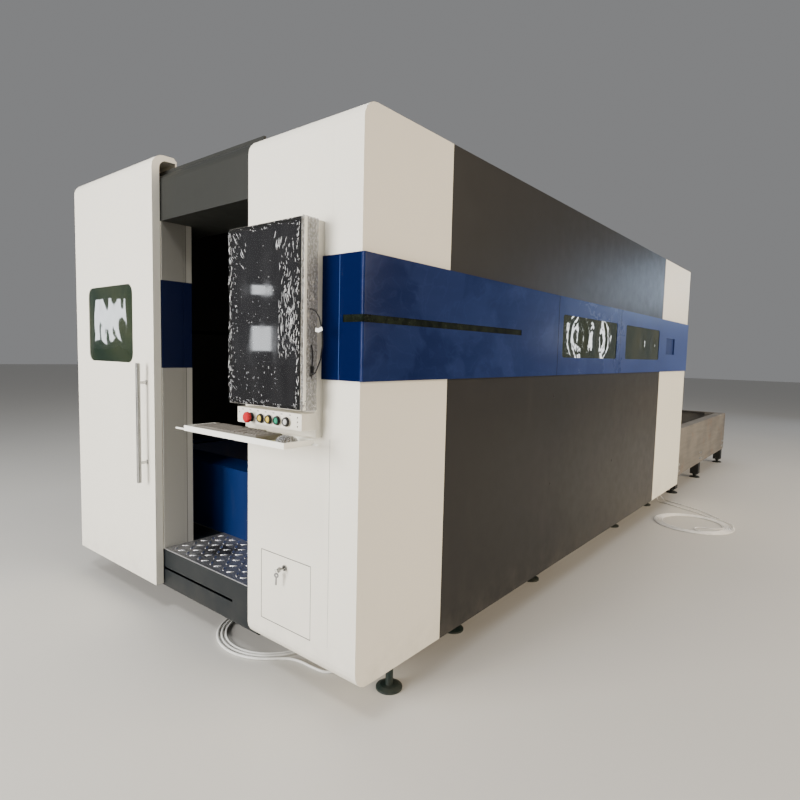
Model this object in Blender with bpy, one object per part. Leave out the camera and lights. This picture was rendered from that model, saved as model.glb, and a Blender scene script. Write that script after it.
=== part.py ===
"""Fiber laser cutting machine in an enclosure, with a two-level pallet changer behind it.

Metres, +Z up. The front, with the operator's sliding door and the console, faces -Y. The long axis is Y.
The origin is on the floor at the middle of the machine. Inside this file, places are worked out from the
enclosure's right side (RIGHT), its front face (FRONT) and its lower edge (BASE).
"""

from math import cos, pi, radians, sin

import bmesh
import bpy
from mathutils import Matrix, Vector

# Enclosure
WIDTH = 2.34
SHELL_LENGTH = 4.683
SHELL_HEIGHT = 2.10
FLOOR_GAP = 0.15
FOLD_RADIUS = 0.065
SHEET = 0.003
PANEL_DEPTH = 0.040
NEAR_PANEL_END = 0.536
SEAM_1 = 1.605
SEAM_2 = 2.665
FAR_PANEL_WIDTH = 0.893
FRONT_DEPTH = 0.400
RECESS = 0.045

# Fits
FIT = 0.0003
RUNNING = 0.005

# Operator block at the right of the front
BLOCK_WIDTH = 0.644
CORNER_WIDTH = 0.146
HATCH_LEFT = 0.550
HATCH_RIGHT = 0.243
HATCH_LOW = 0.117
HATCH_HIGH = 0.412
HATCH_GAP = 0.002
HATCH_THICK = 0.012
LOCK_RADIUS = 0.011
LOCK_PROUD = 0.006
LOCK_BELOW_TOP = 0.044
KEY_LENGTH = 0.030
KEY_THICK = 0.0022
CAM_OVERLAP = 0.008
CAM_WIDTH = 0.014
CAM_THICK = 0.003

# Blue band and its windows
BAND_LOW = 1.140
BAND_HIGH = 1.587
BAND_PROUD = 0.018
BAND_FRONT_PROUD = 0.008
BAND_SKIN = 0.002
BAND_REAR_MARGIN = 0.030
SLIT_LOW = 1.347
SLIT_HIGH = 1.374
SLIT_FRONT_REACH = 0.081
SLIT_END = 1.160
SLIT_PANE_THICK = 0.003
WINDOW_LOW = 1.241
WINDOW_HIGH = 1.487
WINDOW_1 = (1.667, 2.591)
WINDOW_2 = (2.785, 3.657)
WINDOW_CORNER = 0.020
PANE_LAP = 0.015
PANE_THICK = 0.005
POCKET_FROM_REAR = 0.519
POCKET_WIDTH = 0.280
POCKET_LOW = 1.290
POCKET_HIGH = 1.432
POCKET_DEPTH = 0.012

# Doorway, step and header
DOORWAY_WIDTH = 0.786
JAMB_DEPTH = 0.210
JAMB_GROOVE = 0.160
HEADER_LOW = SHELL_HEIGHT - 0.220
HEADER_HIGH = SHELL_HEIGHT + 0.020
HEADER_FOLD = 0.050
RISER_LOW = -0.025
RISER_HIGH = 0.185
RISER_FOLD = 0.025
GUIDE_SLOT_HEIGHT = 0.085
GUIDE_SLOT_TALL = 0.012
TREAD_THICK = 0.005

# Sliding door
DOOR_OVERLAP = 0.015
DOOR_STOP = 0.006
DOOR_THICK = 0.040
DOOR_SKIN = 0.003
DOOR_TOP = SHELL_HEIGHT + 0.105
DOOR_BEND = 0.065
HOOK_REACH = 0.133
HOOK_THICK = 0.026
HOOK_LIP = 0.030
PANE_LEFT = 0.168
PANE_WIDTH = 0.534
PANE_LOW = 1.160
PANE_HIGH = 1.578
PANE_CORNER = 0.050
DOOR_PANE_THICK = 0.006
HANDLE_FROM_EDGE = 0.077
HANDLE_BAR = 0.020
HANDLE_REACH = 0.055
HANDLE_LOW = 0.540
HANDLE_HIGH = 1.163
STANDOFF_LOW = 0.645
STANDOFF_HIGH = 1.062
STANDOFF_SIDE = 0.016
TRACK_HEIGHT = 0.015
TRACK_WIDTH = 0.012
TRACK_BACK = 0.085
ROLLER_RADIUS = 0.018
ROLLER_WIDTH = 0.014
AXLE_RADIUS = 0.005
ROLLER_INSET = 0.120
GUIDE_PIN_RADIUS = 0.0045
GUIDE_PIN_INSET = 0.185

# Console
CONSOLE_LEFT = 0.616
CONSOLE_RIGHT = 0.189
CONSOLE_LOW = 0.925
CONSOLE_HIGH = 1.711
CONSOLE_BOX_DEPTH = 0.032
MONITOR_LOW = 1.030
MONITOR_DEPTH = 0.075
BEZEL = 0.004
SCREEN_RECESS = 0.002
SCREEN_THICK = 0.004
PANEL_LEFT = 0.573
PANEL_LOW = 0.955
PANEL_HIGH = 1.016
PANEL_REACH = 0.068
BUTTON_HEIGHT = 0.982
BUTTON_RADIUS = 0.012
BUTTON_PROUD = 0.014
BUTTON_TRAVEL = 0.004
COLLAR_RADIUS = 0.016
COLLAR_PROUD = 0.005
BUTTON_PLACES = {"yellow_1": 0.418, "yellow_2": 0.369, "green": 0.320, "clear": 0.268}
ESTOP_PLACE = 0.478
ESTOP_RADIUS = 0.021
ESTOP_STEM = 0.010
ESTOP_PROUD = 0.034
ESTOP_HEAD = 0.014
ESTOP_TRAVEL = 0.005

# Keyboard tray
TRAY_LEFT = 0.805
TRAY_RIGHT = 0.165
TRAY_REACH = 0.200
TRAY_BACK = 0.060
TRAY_LOW = 0.903
TRAY_LIP = 0.022
TRAY_SHEET = 0.003
TRAY_ARM_WIDTH = 0.030
TRAY_ARM_THICK = 0.010
TRAY_ARMS = (0.540, 0.260)
TRAY_PIN_RADIUS = 0.004
TRAY_PIN_LEFT = 0.075
TRAY_PIN_RIGHT = 0.030
KEYBOARD_LENGTH = 0.420
KEYBOARD_DEPTH = 0.125
KEYBOARD_THICK = 0.026
KEYBOARD_FROM_LEFT = 0.050
MOUSE_LENGTH = 0.100
MOUSE_WIDTH = 0.060
MOUSE_HEIGHT = 0.034
MOUSE_FROM_RIGHT = 0.040

# Bed
BEAM_INSET = 0.100
BEAM_WIDTH = 0.140
BEAM_LOW = 0.030
BEAM_HIGH = 0.600
BEAM_WALL = 0.010
BEAM_FRONT = 0.600
BED_FRONT = 0.402
FRONT_BEAM_LOW = 0.187
FRONT_BEAM_HIGH = 0.575
RAIL_WIDTH = 0.030
RAIL_HEIGHT = 0.020
LEDGE_REACH = 0.060
LEDGE_THICK = 0.020
UPPER_LEDGE = 0.360
LOWER_LEDGE = 0.120
OUTRIGGER_LOW = 0.060
OUTRIGGER_TALL = 0.100
OUTRIGGER_LONG = 0.080
LEG_RADIUS = 0.016
PAD_RADIUS = 0.055
PAD_THICK = 0.016
BED_FEET_FROM_FRONT = (0.900, 1.770, 3.280)
BED_LAST_FOOT = 0.483
FRONT_FOOT = 0.300
FRONT_FOOT_INSET = 0.085

# Gantry and head
GANTRY_FROM_REAR = 0.533
GANTRY_DEPTH = 0.180
GANTRY_LOW = 0.750
GANTRY_TALL = 0.220
GANTRY_WALL = 0.010
SHOE_WIDTH = 0.090
SHOE_LENGTH = 0.300
SHOE_GRIP = 0.012
MOTOR_SIDE = 0.080
MOTOR_TALL = 0.150
CARRIAGE_WIDTH = 0.250
CARRIAGE_TALL = 0.300
CARRIAGE_THICK = 0.050
CROSS_RAIL = 0.020
HEAD_WIDTH = 0.120
HEAD_DEPTH = 0.090
HEAD_TALL = 0.400
HEAD_ABOVE_SLATS = 0.120
NOZZLE_RADIUS = 0.028
NOZZLE_TIP = 0.006
NOZZLE_TALL = 0.070

# Pallets
PALLET_CLEARANCE = 0.030
PALLET_LENGTH = 2.950
PALLET_START = 1.350
PALLET_TRAVEL = 3.070
PALLET_RAIL = 0.060
PALLET_TALL = 0.080
SLAT_COUNT = 23
SLAT_THICK = 0.005
SLAT_PROUD = 0.045
TOOTH_COUNT = 8
TOOTH_DEPTH = 0.022
WHEEL_RADIUS = 0.030
WHEEL_THICK = 0.025
WHEEL_INSET = 0.250

# Exchange frame behind the enclosure
TABLE_LENGTH = 2.767
TABLE_INSET = 0.060
TABLE_LOW = 0.035
TABLE_HIGH = 0.530
TABLE_WEB = 0.008
TABLE_FLANGE = 0.100
TABLE_END_WALL = 0.060
TABLE_FIRST_LEG = 0.257
TABLE_MIDDLE_LEG = 1.317
TABLE_LAST_LEG = 0.090
TABLE_LEG_SIDE = 0.090

# Rear opening
REAR_OPENING_MARGIN = 0.220
REAR_OPENING_HIGH = 0.720

# Cords
CABLE = 0.013
CABLE_COIL_RADIUS = 0.255
CABLE_COIL_BAND = 0.060
CABLE_COIL_CENTRE = (0.830, 0.310)
HOSE = 0.008
HOSE_COIL_RADIUS = 0.270
HOSE_COIL_BAND = 0.090
HOSE_COIL_HIGH = 0.040
HOSE_COIL_CENTRE = (-0.330, SHELL_LENGTH - 0.853)
LEAD = 0.005
GLAND_RADIUS = 0.014
GLAND_FROM_SIDE = 0.140
CABLE_GLANDS = ((0.450, 0.340), (0.300, 0.330))
HOSE_GLANDS_FROM_REAR = (0.233, 0.133)
GLAND_TALL = 0.020

RIGHT = WIDTH / 2
FRONT = TRAY_REACH - (TRAY_REACH + SHELL_LENGTH + TABLE_LENGTH) / 2
BASE = FLOOR_GAP
TOP = BASE + SHELL_HEIGHT
BLOCK_LEFT = RIGHT - BLOCK_WIDTH
DOORWAY_LEFT = BLOCK_LEFT - DOORWAY_WIDTH
DOOR_WIDTH = RIGHT + DOOR_OVERLAP + DOORWAY_LEFT - RUNNING
DOOR_TRAVEL = DOORWAY_WIDTH + RUNNING - DOOR_STOP
FAR_PANEL_START = SHELL_LENGTH - FAR_PANEL_WIDTH
POCKET_END = SHELL_LENGTH - POCKET_FROM_REAR
POCKET_START = POCKET_END - POCKET_WIDTH
BEAM_OUTER = RIGHT - BEAM_INSET
BEAM_INNER = BEAM_OUTER - BEAM_WIDTH
PALLET_WIDTH = 2 * (BEAM_INNER - PALLET_CLEARANCE)
WHEEL_PLACES = (WHEEL_INSET, PALLET_LENGTH / 2, PALLET_LENGTH - WHEEL_INSET)
REAR_OPENING_WIDTH = WIDTH - 2 * REAR_OPENING_MARGIN
BED_FEET = (*BED_FEET_FROM_FRONT, SHELL_LENGTH - BED_LAST_FOOT)
GANTRY_PLACE = SHELL_LENGTH - GANTRY_FROM_REAR
TABLE_LEGS = (
    SHELL_LENGTH + TABLE_FIRST_LEG, SHELL_LENGTH + TABLE_MIDDLE_LEG,
    SHELL_LENGTH + TABLE_LENGTH - TABLE_LAST_LEG,
)
HOSE_GLANDS = tuple(SHELL_LENGTH - place for place in HOSE_GLANDS_FROM_REAR)
ARC_STEPS = 5
SLAT_TOP = UPPER_LEDGE + WHEEL_RADIUS + PALLET_TALL + SLAT_PROUD


def here(from_right, from_front, from_base):
    """Place in the machine's frame, measured from its right side, its front and its lower edge."""
    return Vector((RIGHT - from_right, FRONT + from_front, BASE + from_base))


def material(name, colour, metallic=0.0, roughness=0.5):
    made = bpy.data.materials.new(name)
    made.use_nodes = True
    shader = made.node_tree.nodes["Principled BSDF"]
    shader.inputs["Base Color"].default_value = (*colour, 1.0)
    shader.inputs["Metallic"].default_value = metallic
    shader.inputs["Roughness"].default_value = roughness
    made.diffuse_color = (*colour, 1.0)
    return made


def empty(name, place=(0.0, 0.0, 0.0)):
    made = bpy.data.objects.new(name, None)
    made.location = place
    bpy.context.scene.collection.objects.link(made)
    return made


def shape(*boxes):
    """A mesh of separate boxes, each given as its lowest and its highest corner."""
    made = bmesh.new()
    for low, high in boxes:
        low, high = Vector(low), Vector(high)
        size = Matrix.Diagonal((*(high - low), 1.0))
        bmesh.ops.create_cube(made, size=1.0, matrix=Matrix.Translation((low + high) / 2) @ size)
    return made


def corner_arc(centre, radius, start_deg):
    """Points of a quarter circle that runs anticlockwise."""
    if radius <= 0:
        return [centre]
    turns = [radians(start_deg + 90 * step / ARC_STEPS) for step in range(ARC_STEPS + 1)]
    return [(centre[0] + radius * cos(turn), centre[1] + radius * sin(turn)) for turn in turns]


def rounded(low, high, radii):
    """A rectangle's outline; radii are those of its low-low, high-low, high-high and low-high corners."""
    (a0, b0), (a1, b1) = low, high
    r0, r1, r2, r3 = radii
    return (
        corner_arc((a0 + r0, b0 + r0), r0, 180)
        + corner_arc((a1 - r1, b0 + r1), r1, 270)
        + corner_arc((a1 - r2, b1 - r2), r2, 0)
        + corner_arc((a0 + r3, b1 - r3), r3, 90)
    )


AXES = {"X": (1, 2), "Y": (0, 2), "Z": (0, 1)}


def prism(outline, axis, start, end):
    """A closed outline pushed along an axis from start to end."""
    made = bmesh.new()
    along = "XYZ".index(axis)
    first, second = AXES[axis]
    corners = []
    for a, b in outline:
        point = [0.0, 0.0, 0.0]
        point[first], point[second], point[along] = a, b, start
        corners.append(made.verts.new(point))
    cap = made.faces.new(corners)
    pushed = bmesh.ops.extrude_face_region(made, geom=[cap])["geom"]
    step = Vector([0.0, 0.0, 0.0])
    step[along] = end - start
    bmesh.ops.translate(made, verts=[v for v in pushed if isinstance(v, bmesh.types.BMVert)], vec=step)
    bmesh.ops.recalc_face_normals(made, faces=made.faces)
    return made


def turned(profile, place, axis, segments=20):
    """A solid of revolution; profile is (distance along the axis, radius) pairs, from one end to the other."""
    made = bmesh.new()
    spot = Vector(place)
    direction = Vector(axis)
    side = direction.orthogonal().normalized()
    points = [made.verts.new(spot + direction * along + side * radius) for along, radius in profile]
    edges = [made.edges.new(pair) for pair in zip(points, points[1:])]
    bmesh.ops.spin(
        made, geom=points + edges, cent=spot, axis=direction, angle=2 * pi, steps=segments, use_merge=True
    )
    bmesh.ops.remove_doubles(made, verts=made.verts, dist=1e-6)
    bmesh.ops.recalc_face_normals(made, faces=made.faces)
    return made


def rod(place, axis, radius, length, segments=20):
    return turned([(0, 0), (0, radius), (length, radius), (length, 0)], place, axis, segments)


def mirrored(made, side):
    """The same mesh on the machine's right (side 1) or its left (side -1)."""
    if side < 0:
        bmesh.ops.scale(made, vec=(-1.0, 1.0, 1.0), verts=made.verts)
        bmesh.ops.recalc_face_normals(made, faces=made.faces)
    return made


def solid(name, made, finish, parent, origin=None, smooth=False):
    """One named piece. The mesh comes in the machine's frame and is stored about its own origin."""
    if origin is None:
        origin = parent.location.copy()
    origin = Vector(origin)
    bmesh.ops.translate(made, verts=made.verts, vec=-origin)
    mesh = bpy.data.meshes.new(name)
    made.to_mesh(mesh)
    made.free()
    if smooth:
        mesh.shade_smooth()
        mesh.set_sharp_from_angle(angle=radians(35))
    mesh.materials.append(finish)
    piece = bpy.data.objects.new(name, mesh)
    bpy.context.scene.collection.objects.link(piece)
    piece.parent = parent
    piece.location = origin - parent.location
    return piece


def change(piece, operation, shapes):
    """Cuts shapes from a piece, or joins them to it, with exact Booleans."""
    for made in shapes:
        mesh = bpy.data.meshes.new(f"{piece.name}_tool")
        made.to_mesh(mesh)
        made.free()
        tool = bpy.data.objects.new(f"{piece.name}_tool", mesh)
        tool.hide_render = True
        tool.display_type = "WIRE"
        bpy.context.scene.collection.objects.link(tool)
        step = piece.modifiers.new(operation.lower(), "BOOLEAN")
        step.operation = operation
        step.solver = "EXACT"
        step.object = tool


def cut(piece, *shapes):
    change(piece, "DIFFERENCE", shapes)


def join(piece, *shapes):
    change(piece, "UNION", shapes)


def tray_panel(outline, outer, depth):
    """A folded sheet-metal panel across X: a skin at x = outer, with its edges turned in by depth."""
    made = bmesh.new()
    cap = made.faces.new([made.verts.new((outer, y, z)) for y, z in outline])
    pushed = bmesh.ops.extrude_face_region(made, geom=[cap])["geom"]
    verts = [v for v in pushed if isinstance(v, bmesh.types.BMVert)]
    bmesh.ops.translate(made, verts=verts, vec=(-depth, 0.0, 0.0))
    bmesh.ops.recalc_face_normals(made, faces=made.faces)
    back = next(f for f in made.faces if set(f.verts) == set(verts))
    bmesh.ops.inset_region(made, faces=[back], thickness=SHEET, use_even_offset=True)
    bmesh.ops.translate(made, verts=back.verts, vec=(depth - SHEET, 0.0, 0.0))
    bmesh.ops.recalc_face_normals(made, faces=made.faces)
    return made


def slot_cutter(extra=0.0):
    """The space of the long slit window, which turns the front corner."""
    return shape(
        (
            here(SLIT_FRONT_REACH, -BAND_PROUD, SLIT_LOW - extra),
            here(-2 * BAND_PROUD, PANEL_DEPTH / 2, SLIT_HIGH + extra),
        ),
    )


def side_slot_cutter():
    return shape(
        (here(PANEL_DEPTH / 2, SHEET, SLIT_LOW), here(-2 * BAND_PROUD, SLIT_END, SLIT_HIGH)),
    )


def window_cutter(span, grow=0.0):
    low = here(0, span[0] - grow, WINDOW_LOW - grow)
    high = here(0, span[1] + grow, WINDOW_HIGH + grow)
    corner = WINDOW_CORNER + grow
    outline = rounded((low.y, low.z), (high.y, high.z), (corner,) * 4)
    return prism(outline, "X", RIGHT - PANEL_DEPTH / 2, RIGHT + 2 * BAND_PROUD)


def build_side(side, tag, finishes, parent):
    """The five panels of one long side, with the openings that its windows need."""
    sections = [
        ("mid_1", NEAR_PANEL_END, SEAM_1, "grey"),
        ("mid_2", SEAM_1, SEAM_2, "grey"),
        ("mid_3", SEAM_2, FAR_PANEL_START, "grey"),
        ("rear", FAR_PANEL_START, SHELL_LENGTH, "white"),
    ]
    for part, start, end, colour in sections:
        outline = rounded(
            (FRONT + start + FIT / 2, BASE), (FRONT + end - FIT / 2, TOP), (0.0, 0.0, 0.0, 0.0)
        )
        made = mirrored(tray_panel(outline, RIGHT, PANEL_DEPTH), side)
        panel = solid(f"side_{tag}_{part}", made, finishes[colour], parent)
        if part == "mid_1":
            cut(panel, mirrored(side_slot_cutter(), side))
        if part == "mid_2":
            cut(panel, mirrored(window_cutter(WINDOW_1), side))
        if part == "mid_3":
            cut(panel, mirrored(window_cutter(WINDOW_2), side))


def build_right_corner(finishes, parent):
    """The near right panel: its side, and the strip that it turns round the front corner."""
    radii = (FOLD_RADIUS, 0.0, 0.0, FOLD_RADIUS)
    outline = rounded((FRONT, BASE), (FRONT + NEAR_PANEL_END - FIT / 2, TOP), radii)
    corner = solid(
        "corner_cover_right", prism(outline, "X", RIGHT - CORNER_WIDTH + FIT, RIGHT), finishes["white"], parent
    )
    inner_radii = (FOLD_RADIUS - SHEET, 0.0, 0.0, FOLD_RADIUS - SHEET)
    inner = rounded(
        (FRONT + SHEET, BASE + SHEET), (FRONT + NEAR_PANEL_END - SHEET, TOP - SHEET), inner_radii
    )
    low = here(2 * CORNER_WIDTH, FRONT_DEPTH, -PANEL_DEPTH)
    high = here(PANEL_DEPTH, 2 * NEAR_PANEL_END, SHELL_HEIGHT + PANEL_DEPTH)
    cut(corner, prism(inner, "X", RIGHT - 2 * CORNER_WIDTH, RIGHT - SHEET), shape((low, high)))
    cut(corner, side_slot_cutter(), slot_cutter())
    join(corner, foot(RIGHT - FRONT_FOOT_INSET, FRONT + FRONT_FOOT, BASE + SHEET / 2))


def build_left_corner(finishes, parent):
    radii = (FOLD_RADIUS, 0.0, 0.0, FOLD_RADIUS)
    outline = rounded((FRONT + RECESS, BASE), (FRONT + NEAR_PANEL_END - FIT / 2, TOP), radii)
    made = mirrored(tray_panel(outline, RIGHT, PANEL_DEPTH), -1)
    corner = solid("corner_cover_left", made, finishes["white"], parent)
    low = here(PANEL_DEPTH / 2, 2 * RECESS, SLIT_LOW)
    cut(corner, mirrored(shape((low, here(-BAND_PROUD, SLIT_END, SLIT_HIGH))), -1))


def build_block(finishes, parent):
    """The folded cover of the operator block, whose left wall is the doorway's right jamb."""
    radii = (FOLD_RADIUS, 0.0, 0.0, FOLD_RADIUS)
    outline = rounded((FRONT, BASE), (FRONT + FRONT_DEPTH - FIT, TOP), radii)
    cover = solid(
        "block_cover", prism(outline, "X", BLOCK_LEFT, RIGHT - CORNER_WIDTH), finishes["white"], parent
    )
    inner = rounded(
        (FRONT + SHEET, BASE + SHEET),
        (FRONT + 2 * FRONT_DEPTH, TOP - SHEET),
        (FOLD_RADIUS - SHEET, 0.0, 0.0, FOLD_RADIUS - SHEET),
    )
    hatch_hole = shape(
        (here(HATCH_LEFT, -SHEET, HATCH_LOW), here(HATCH_RIGHT, 2 * HATCH_THICK, HATCH_HIGH))
    )
    cut(cover, prism(inner, "X", BLOCK_LEFT + SHEET, RIGHT), hatch_hole)
    for x, y in CABLE_GLANDS:
        join(cover, rod(here(x, y, SHEET / 2), (0, 0, -1), GLAND_RADIUS, GLAND_TALL + SHEET / 2, 12))


def build_band(side, tag, finishes, parent):
    """One long blue band: a folded skin standing proud of the panels, with openings for its windows."""
    wraps = side > 0
    outer = RIGHT + BAND_PROUD
    end = FRONT + SHELL_LENGTH - BAND_REAR_MARGIN
    low, high = BASE + BAND_LOW, BASE + BAND_HIGH
    if wraps:
        start_x = RIGHT - CONSOLE_RIGHT + FIT
        front = FRONT - BAND_FRONT_PROUD
        outline = [
            (start_x, FRONT - FIT),
            (start_x, front),
            *corner_arc((outer - BAND_FRONT_PROUD, front + BAND_FRONT_PROUD), BAND_FRONT_PROUD, 270),
            (outer, end),
            (RIGHT + FIT, end),
            (RIGHT + FIT, FRONT - FIT),
        ]
    else:
        front = FRONT + RECESS + FOLD_RADIUS
        outline = [(RIGHT + FIT, front), (outer, front), (outer, end), (RIGHT + FIT, end)]
    band = solid(f"band_{tag}", mirrored(prism(outline, "Z", low, high), side), finishes["blue"], parent)
    inside = outer - BAND_SKIN
    start = FRONT if wraps else front + BAND_SKIN
    pocket = (FRONT + POCKET_START - PANE_LAP, FRONT + POCKET_END + PANE_LAP)
    hollows = [
        ((RIGHT - BAND_PROUD, start, low + BAND_SKIN), (inside, pocket[0], high - BAND_SKIN)),
        ((RIGHT - BAND_PROUD, pocket[1], low + BAND_SKIN), (inside, end - BAND_SKIN, high - BAND_SKIN)),
    ]
    for corners in hollows:
        cut(band, mirrored(shape(corners), side))
    if wraps:
        face, turn = front + BAND_SKIN, BAND_FRONT_PROUD - BAND_SKIN
        corner = [
            (start_x + BAND_SKIN, FRONT + BAND_PROUD),
            (start_x + BAND_SKIN, face),
            (inside - turn, face),
            (inside, face + turn),
            (inside, FRONT + BAND_PROUD),
        ]
        cut(band, prism(corner, "Z", low + BAND_SKIN, high - BAND_SKIN))
        cut(band, slot_cutter())
    slit_start = PANEL_DEPTH / 2 if wraps else 2 * RECESS
    slit = (here(PANEL_DEPTH / 2, slit_start, SLIT_LOW), here(-2 * BAND_PROUD, SLIT_END, SLIT_HIGH))
    cut(band, mirrored(shape(slit), side))
    for span in (WINDOW_1, WINDOW_2):
        cut(band, mirrored(window_cutter(span), side))
    well = (
        here(POCKET_DEPTH - BAND_PROUD, POCKET_START, POCKET_LOW),
        here(-2 * BAND_PROUD, POCKET_END, POCKET_HIGH),
    )
    cut(band, mirrored(shape(well), side))


def build_panes(side, tag, finishes, parent):
    """The dark green panes behind one band's openings."""
    face = RIGHT + BAND_PROUD - BAND_SKIN - FIT
    low, high = BASE + SLIT_LOW - PANE_LAP, BASE + SLIT_HIGH + PANE_LAP
    end = FRONT + SLIT_END + PANE_LAP
    if side > 0:
        front = FRONT - BAND_FRONT_PROUD + BAND_SKIN + FIT
        start = RIGHT - SLIT_FRONT_REACH - PANE_LAP
        inner = face - SLIT_PANE_THICK
        turn = BAND_FRONT_PROUD - BAND_SKIN
        outline = [
            (start, front + SLIT_PANE_THICK),
            (start, front),
            (face - turn, front),
            (face - FIT, front + turn),
            (face - FIT, end),
            (inner - FIT, end),
            (inner - FIT, front + turn),
            (inner - turn, front + SLIT_PANE_THICK),
        ]
    else:
        front = FRONT + RECESS + FOLD_RADIUS + PANE_LAP
        outline = rounded((face - SLIT_PANE_THICK, front), (face, end), (0.0, 0.0, 0.0, 0.0))
    made = mirrored(prism(outline, "Z", low, high), side)
    solid(f"slit_pane_{tag}", made, finishes["pane"], parent)
    for number, span in enumerate((WINDOW_1, WINDOW_2), 1):
        corner = WINDOW_CORNER + PANE_LAP
        outline = rounded(
            (FRONT + span[0] - PANE_LAP, BASE + WINDOW_LOW - PANE_LAP),
            (FRONT + span[1] + PANE_LAP, BASE + WINDOW_HIGH + PANE_LAP),
            (corner,) * 4,
        )
        made = mirrored(prism(outline, "X", face - PANE_THICK, face), side)
        solid(f"window_{tag}_{number}", made, finishes["pane"], parent)


def build_left_front(finishes, parent):
    """The fixed cover behind the open door. It turns in at the doorway and forms its left jamb."""
    front = FRONT + RECESS
    left = -RIGHT + PANEL_DEPTH + FIT
    edge = DOORWAY_LEFT
    groove = FRONT + JAMB_GROOVE
    outline = [
        (left, front),
        (edge, front),
        (edge, groove),
        (edge - SHEET / 2, groove),
        (edge - SHEET / 2, groove + SHEET),
        (edge, groove + SHEET),
        (edge, FRONT + JAMB_DEPTH),
        (edge - 2 * SHEET, FRONT + JAMB_DEPTH),
        (edge - 2 * SHEET, front + SHEET),
        (left, front + SHEET),
    ]
    low, high = BASE + RISER_HIGH + FIT, BASE + HEADER_LOW - FIT
    solid("left_front_cover", prism(outline, "Z", low, high), finishes["white"], parent)


def build_header(finishes, parent):
    """The folded header over the doorway, with the door's track on its top."""
    front, back = FRONT + RECESS, FRONT + FRONT_DEPTH - FIT
    low, high = BASE + HEADER_LOW, BASE + HEADER_HIGH
    left, right = -RIGHT + PANEL_DEPTH + FIT, BLOCK_LEFT - FIT
    outline = rounded((front, low), (back, high), (0.0, 0.0, 0.0, HEADER_FOLD))
    header = solid("header", prism(outline, "X", left, right), finishes["light_grey"], parent)
    inner_fold = HEADER_FOLD - SHEET
    inner = rounded(
        (front + SHEET, low + SHEET), (back + SHEET, high - SHEET), (0.0, 0.0, 0.0, inner_fold)
    )
    track = (
        (left + SHEET, FRONT + TRACK_BACK - TRACK_WIDTH / 2, high - SHEET / 2),
        (right - SHEET, FRONT + TRACK_BACK + TRACK_WIDTH / 2, high + TRACK_HEIGHT),
    )
    cut(header, prism(inner, "X", left + SHEET, right - SHEET))
    join(header, shape(track))


def build_step(finishes, parent):
    """The step under the doorway: a folded riser with the door's guide slot, and the tread plate on it."""
    front, back = FRONT + RECESS, FRONT + BED_FRONT - FIT
    low, high = BASE + RISER_LOW, BASE + RISER_HIGH
    left, right = -RIGHT + PANEL_DEPTH + FIT, BLOCK_LEFT - FIT
    outline = rounded((front, low), (back, high), (RISER_FOLD, 0.0, 0.0, 0.0))
    riser = solid("riser", prism(outline, "X", left, right), finishes["riser_grey"], parent)
    inner = rounded(
        (front + SHEET, low + SHEET), (back + SHEET, high - SHEET), (RISER_FOLD - SHEET, 0.0, 0.0, 0.0)
    )
    pin_start = DOORWAY_LEFT - GUIDE_PIN_INSET - RUNNING
    slot = (
        (pin_start - 2 * GUIDE_SLOT_TALL, front - SHEET, BASE + GUIDE_SLOT_HEIGHT - GUIDE_SLOT_TALL / 2),
        (pin_start + DOOR_TRAVEL + GUIDE_SLOT_TALL, front + 2 * SHEET, BASE + GUIDE_SLOT_HEIGHT + GUIDE_SLOT_TALL / 2),
    )
    cut(riser, prism(inner, "X", left + SHEET, right - SHEET), shape(slot))
    join(riser, foot(FRONT_FOOT_INSET - RIGHT, FRONT + FRONT_FOOT, low + SHEET / 2))
    tread = (
        (DOORWAY_LEFT + FIT, front, high + FIT),
        (right, FRONT + BED_FRONT - FIT, high + FIT + TREAD_THICK),
    )
    solid("tread_plate", shape(tread), finishes["tread"], parent)


def build_roof_and_rear(finishes, parent):
    reach = RIGHT - PANEL_DEPTH - FIT
    back = FRONT + SHELL_LENGTH - PANEL_DEPTH
    roof = shape(((-reach, FRONT + FRONT_DEPTH, TOP - PANEL_DEPTH), (reach, back - FIT, TOP)))
    panel = solid("roof", roof, finishes["grey"], parent)
    inner = (
        (-reach + SHEET, FRONT + FRONT_DEPTH + SHEET, TOP - 2 * PANEL_DEPTH),
        (reach - SHEET, back - FIT - SHEET, TOP - SHEET),
    )
    cut(panel, shape(inner))
    half = REAR_OPENING_WIDTH / 2
    sill = BASE + REAR_OPENING_HIGH
    outline = [
        (-reach, BASE), (-half, BASE), (-half, sill), (half, sill),
        (half, BASE), (reach, BASE), (reach, TOP), (-reach, TOP),
    ]
    rear = prism(outline, "Y", back, back + PANEL_DEPTH)
    cover = solid("rear_cover", rear, finishes["white"], parent)
    inset = [
        (-reach + SHEET, BASE + SHEET), (-half - SHEET, BASE + SHEET), (-half - SHEET, sill + SHEET),
        (half + SHEET, sill + SHEET), (half + SHEET, BASE + SHEET), (reach - SHEET, BASE + SHEET),
        (reach - SHEET, TOP - SHEET), (-reach + SHEET, TOP - SHEET),
    ]
    cut(cover, prism(inset, "Y", back - SHEET, back + PANEL_DEPTH - SHEET))


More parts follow.
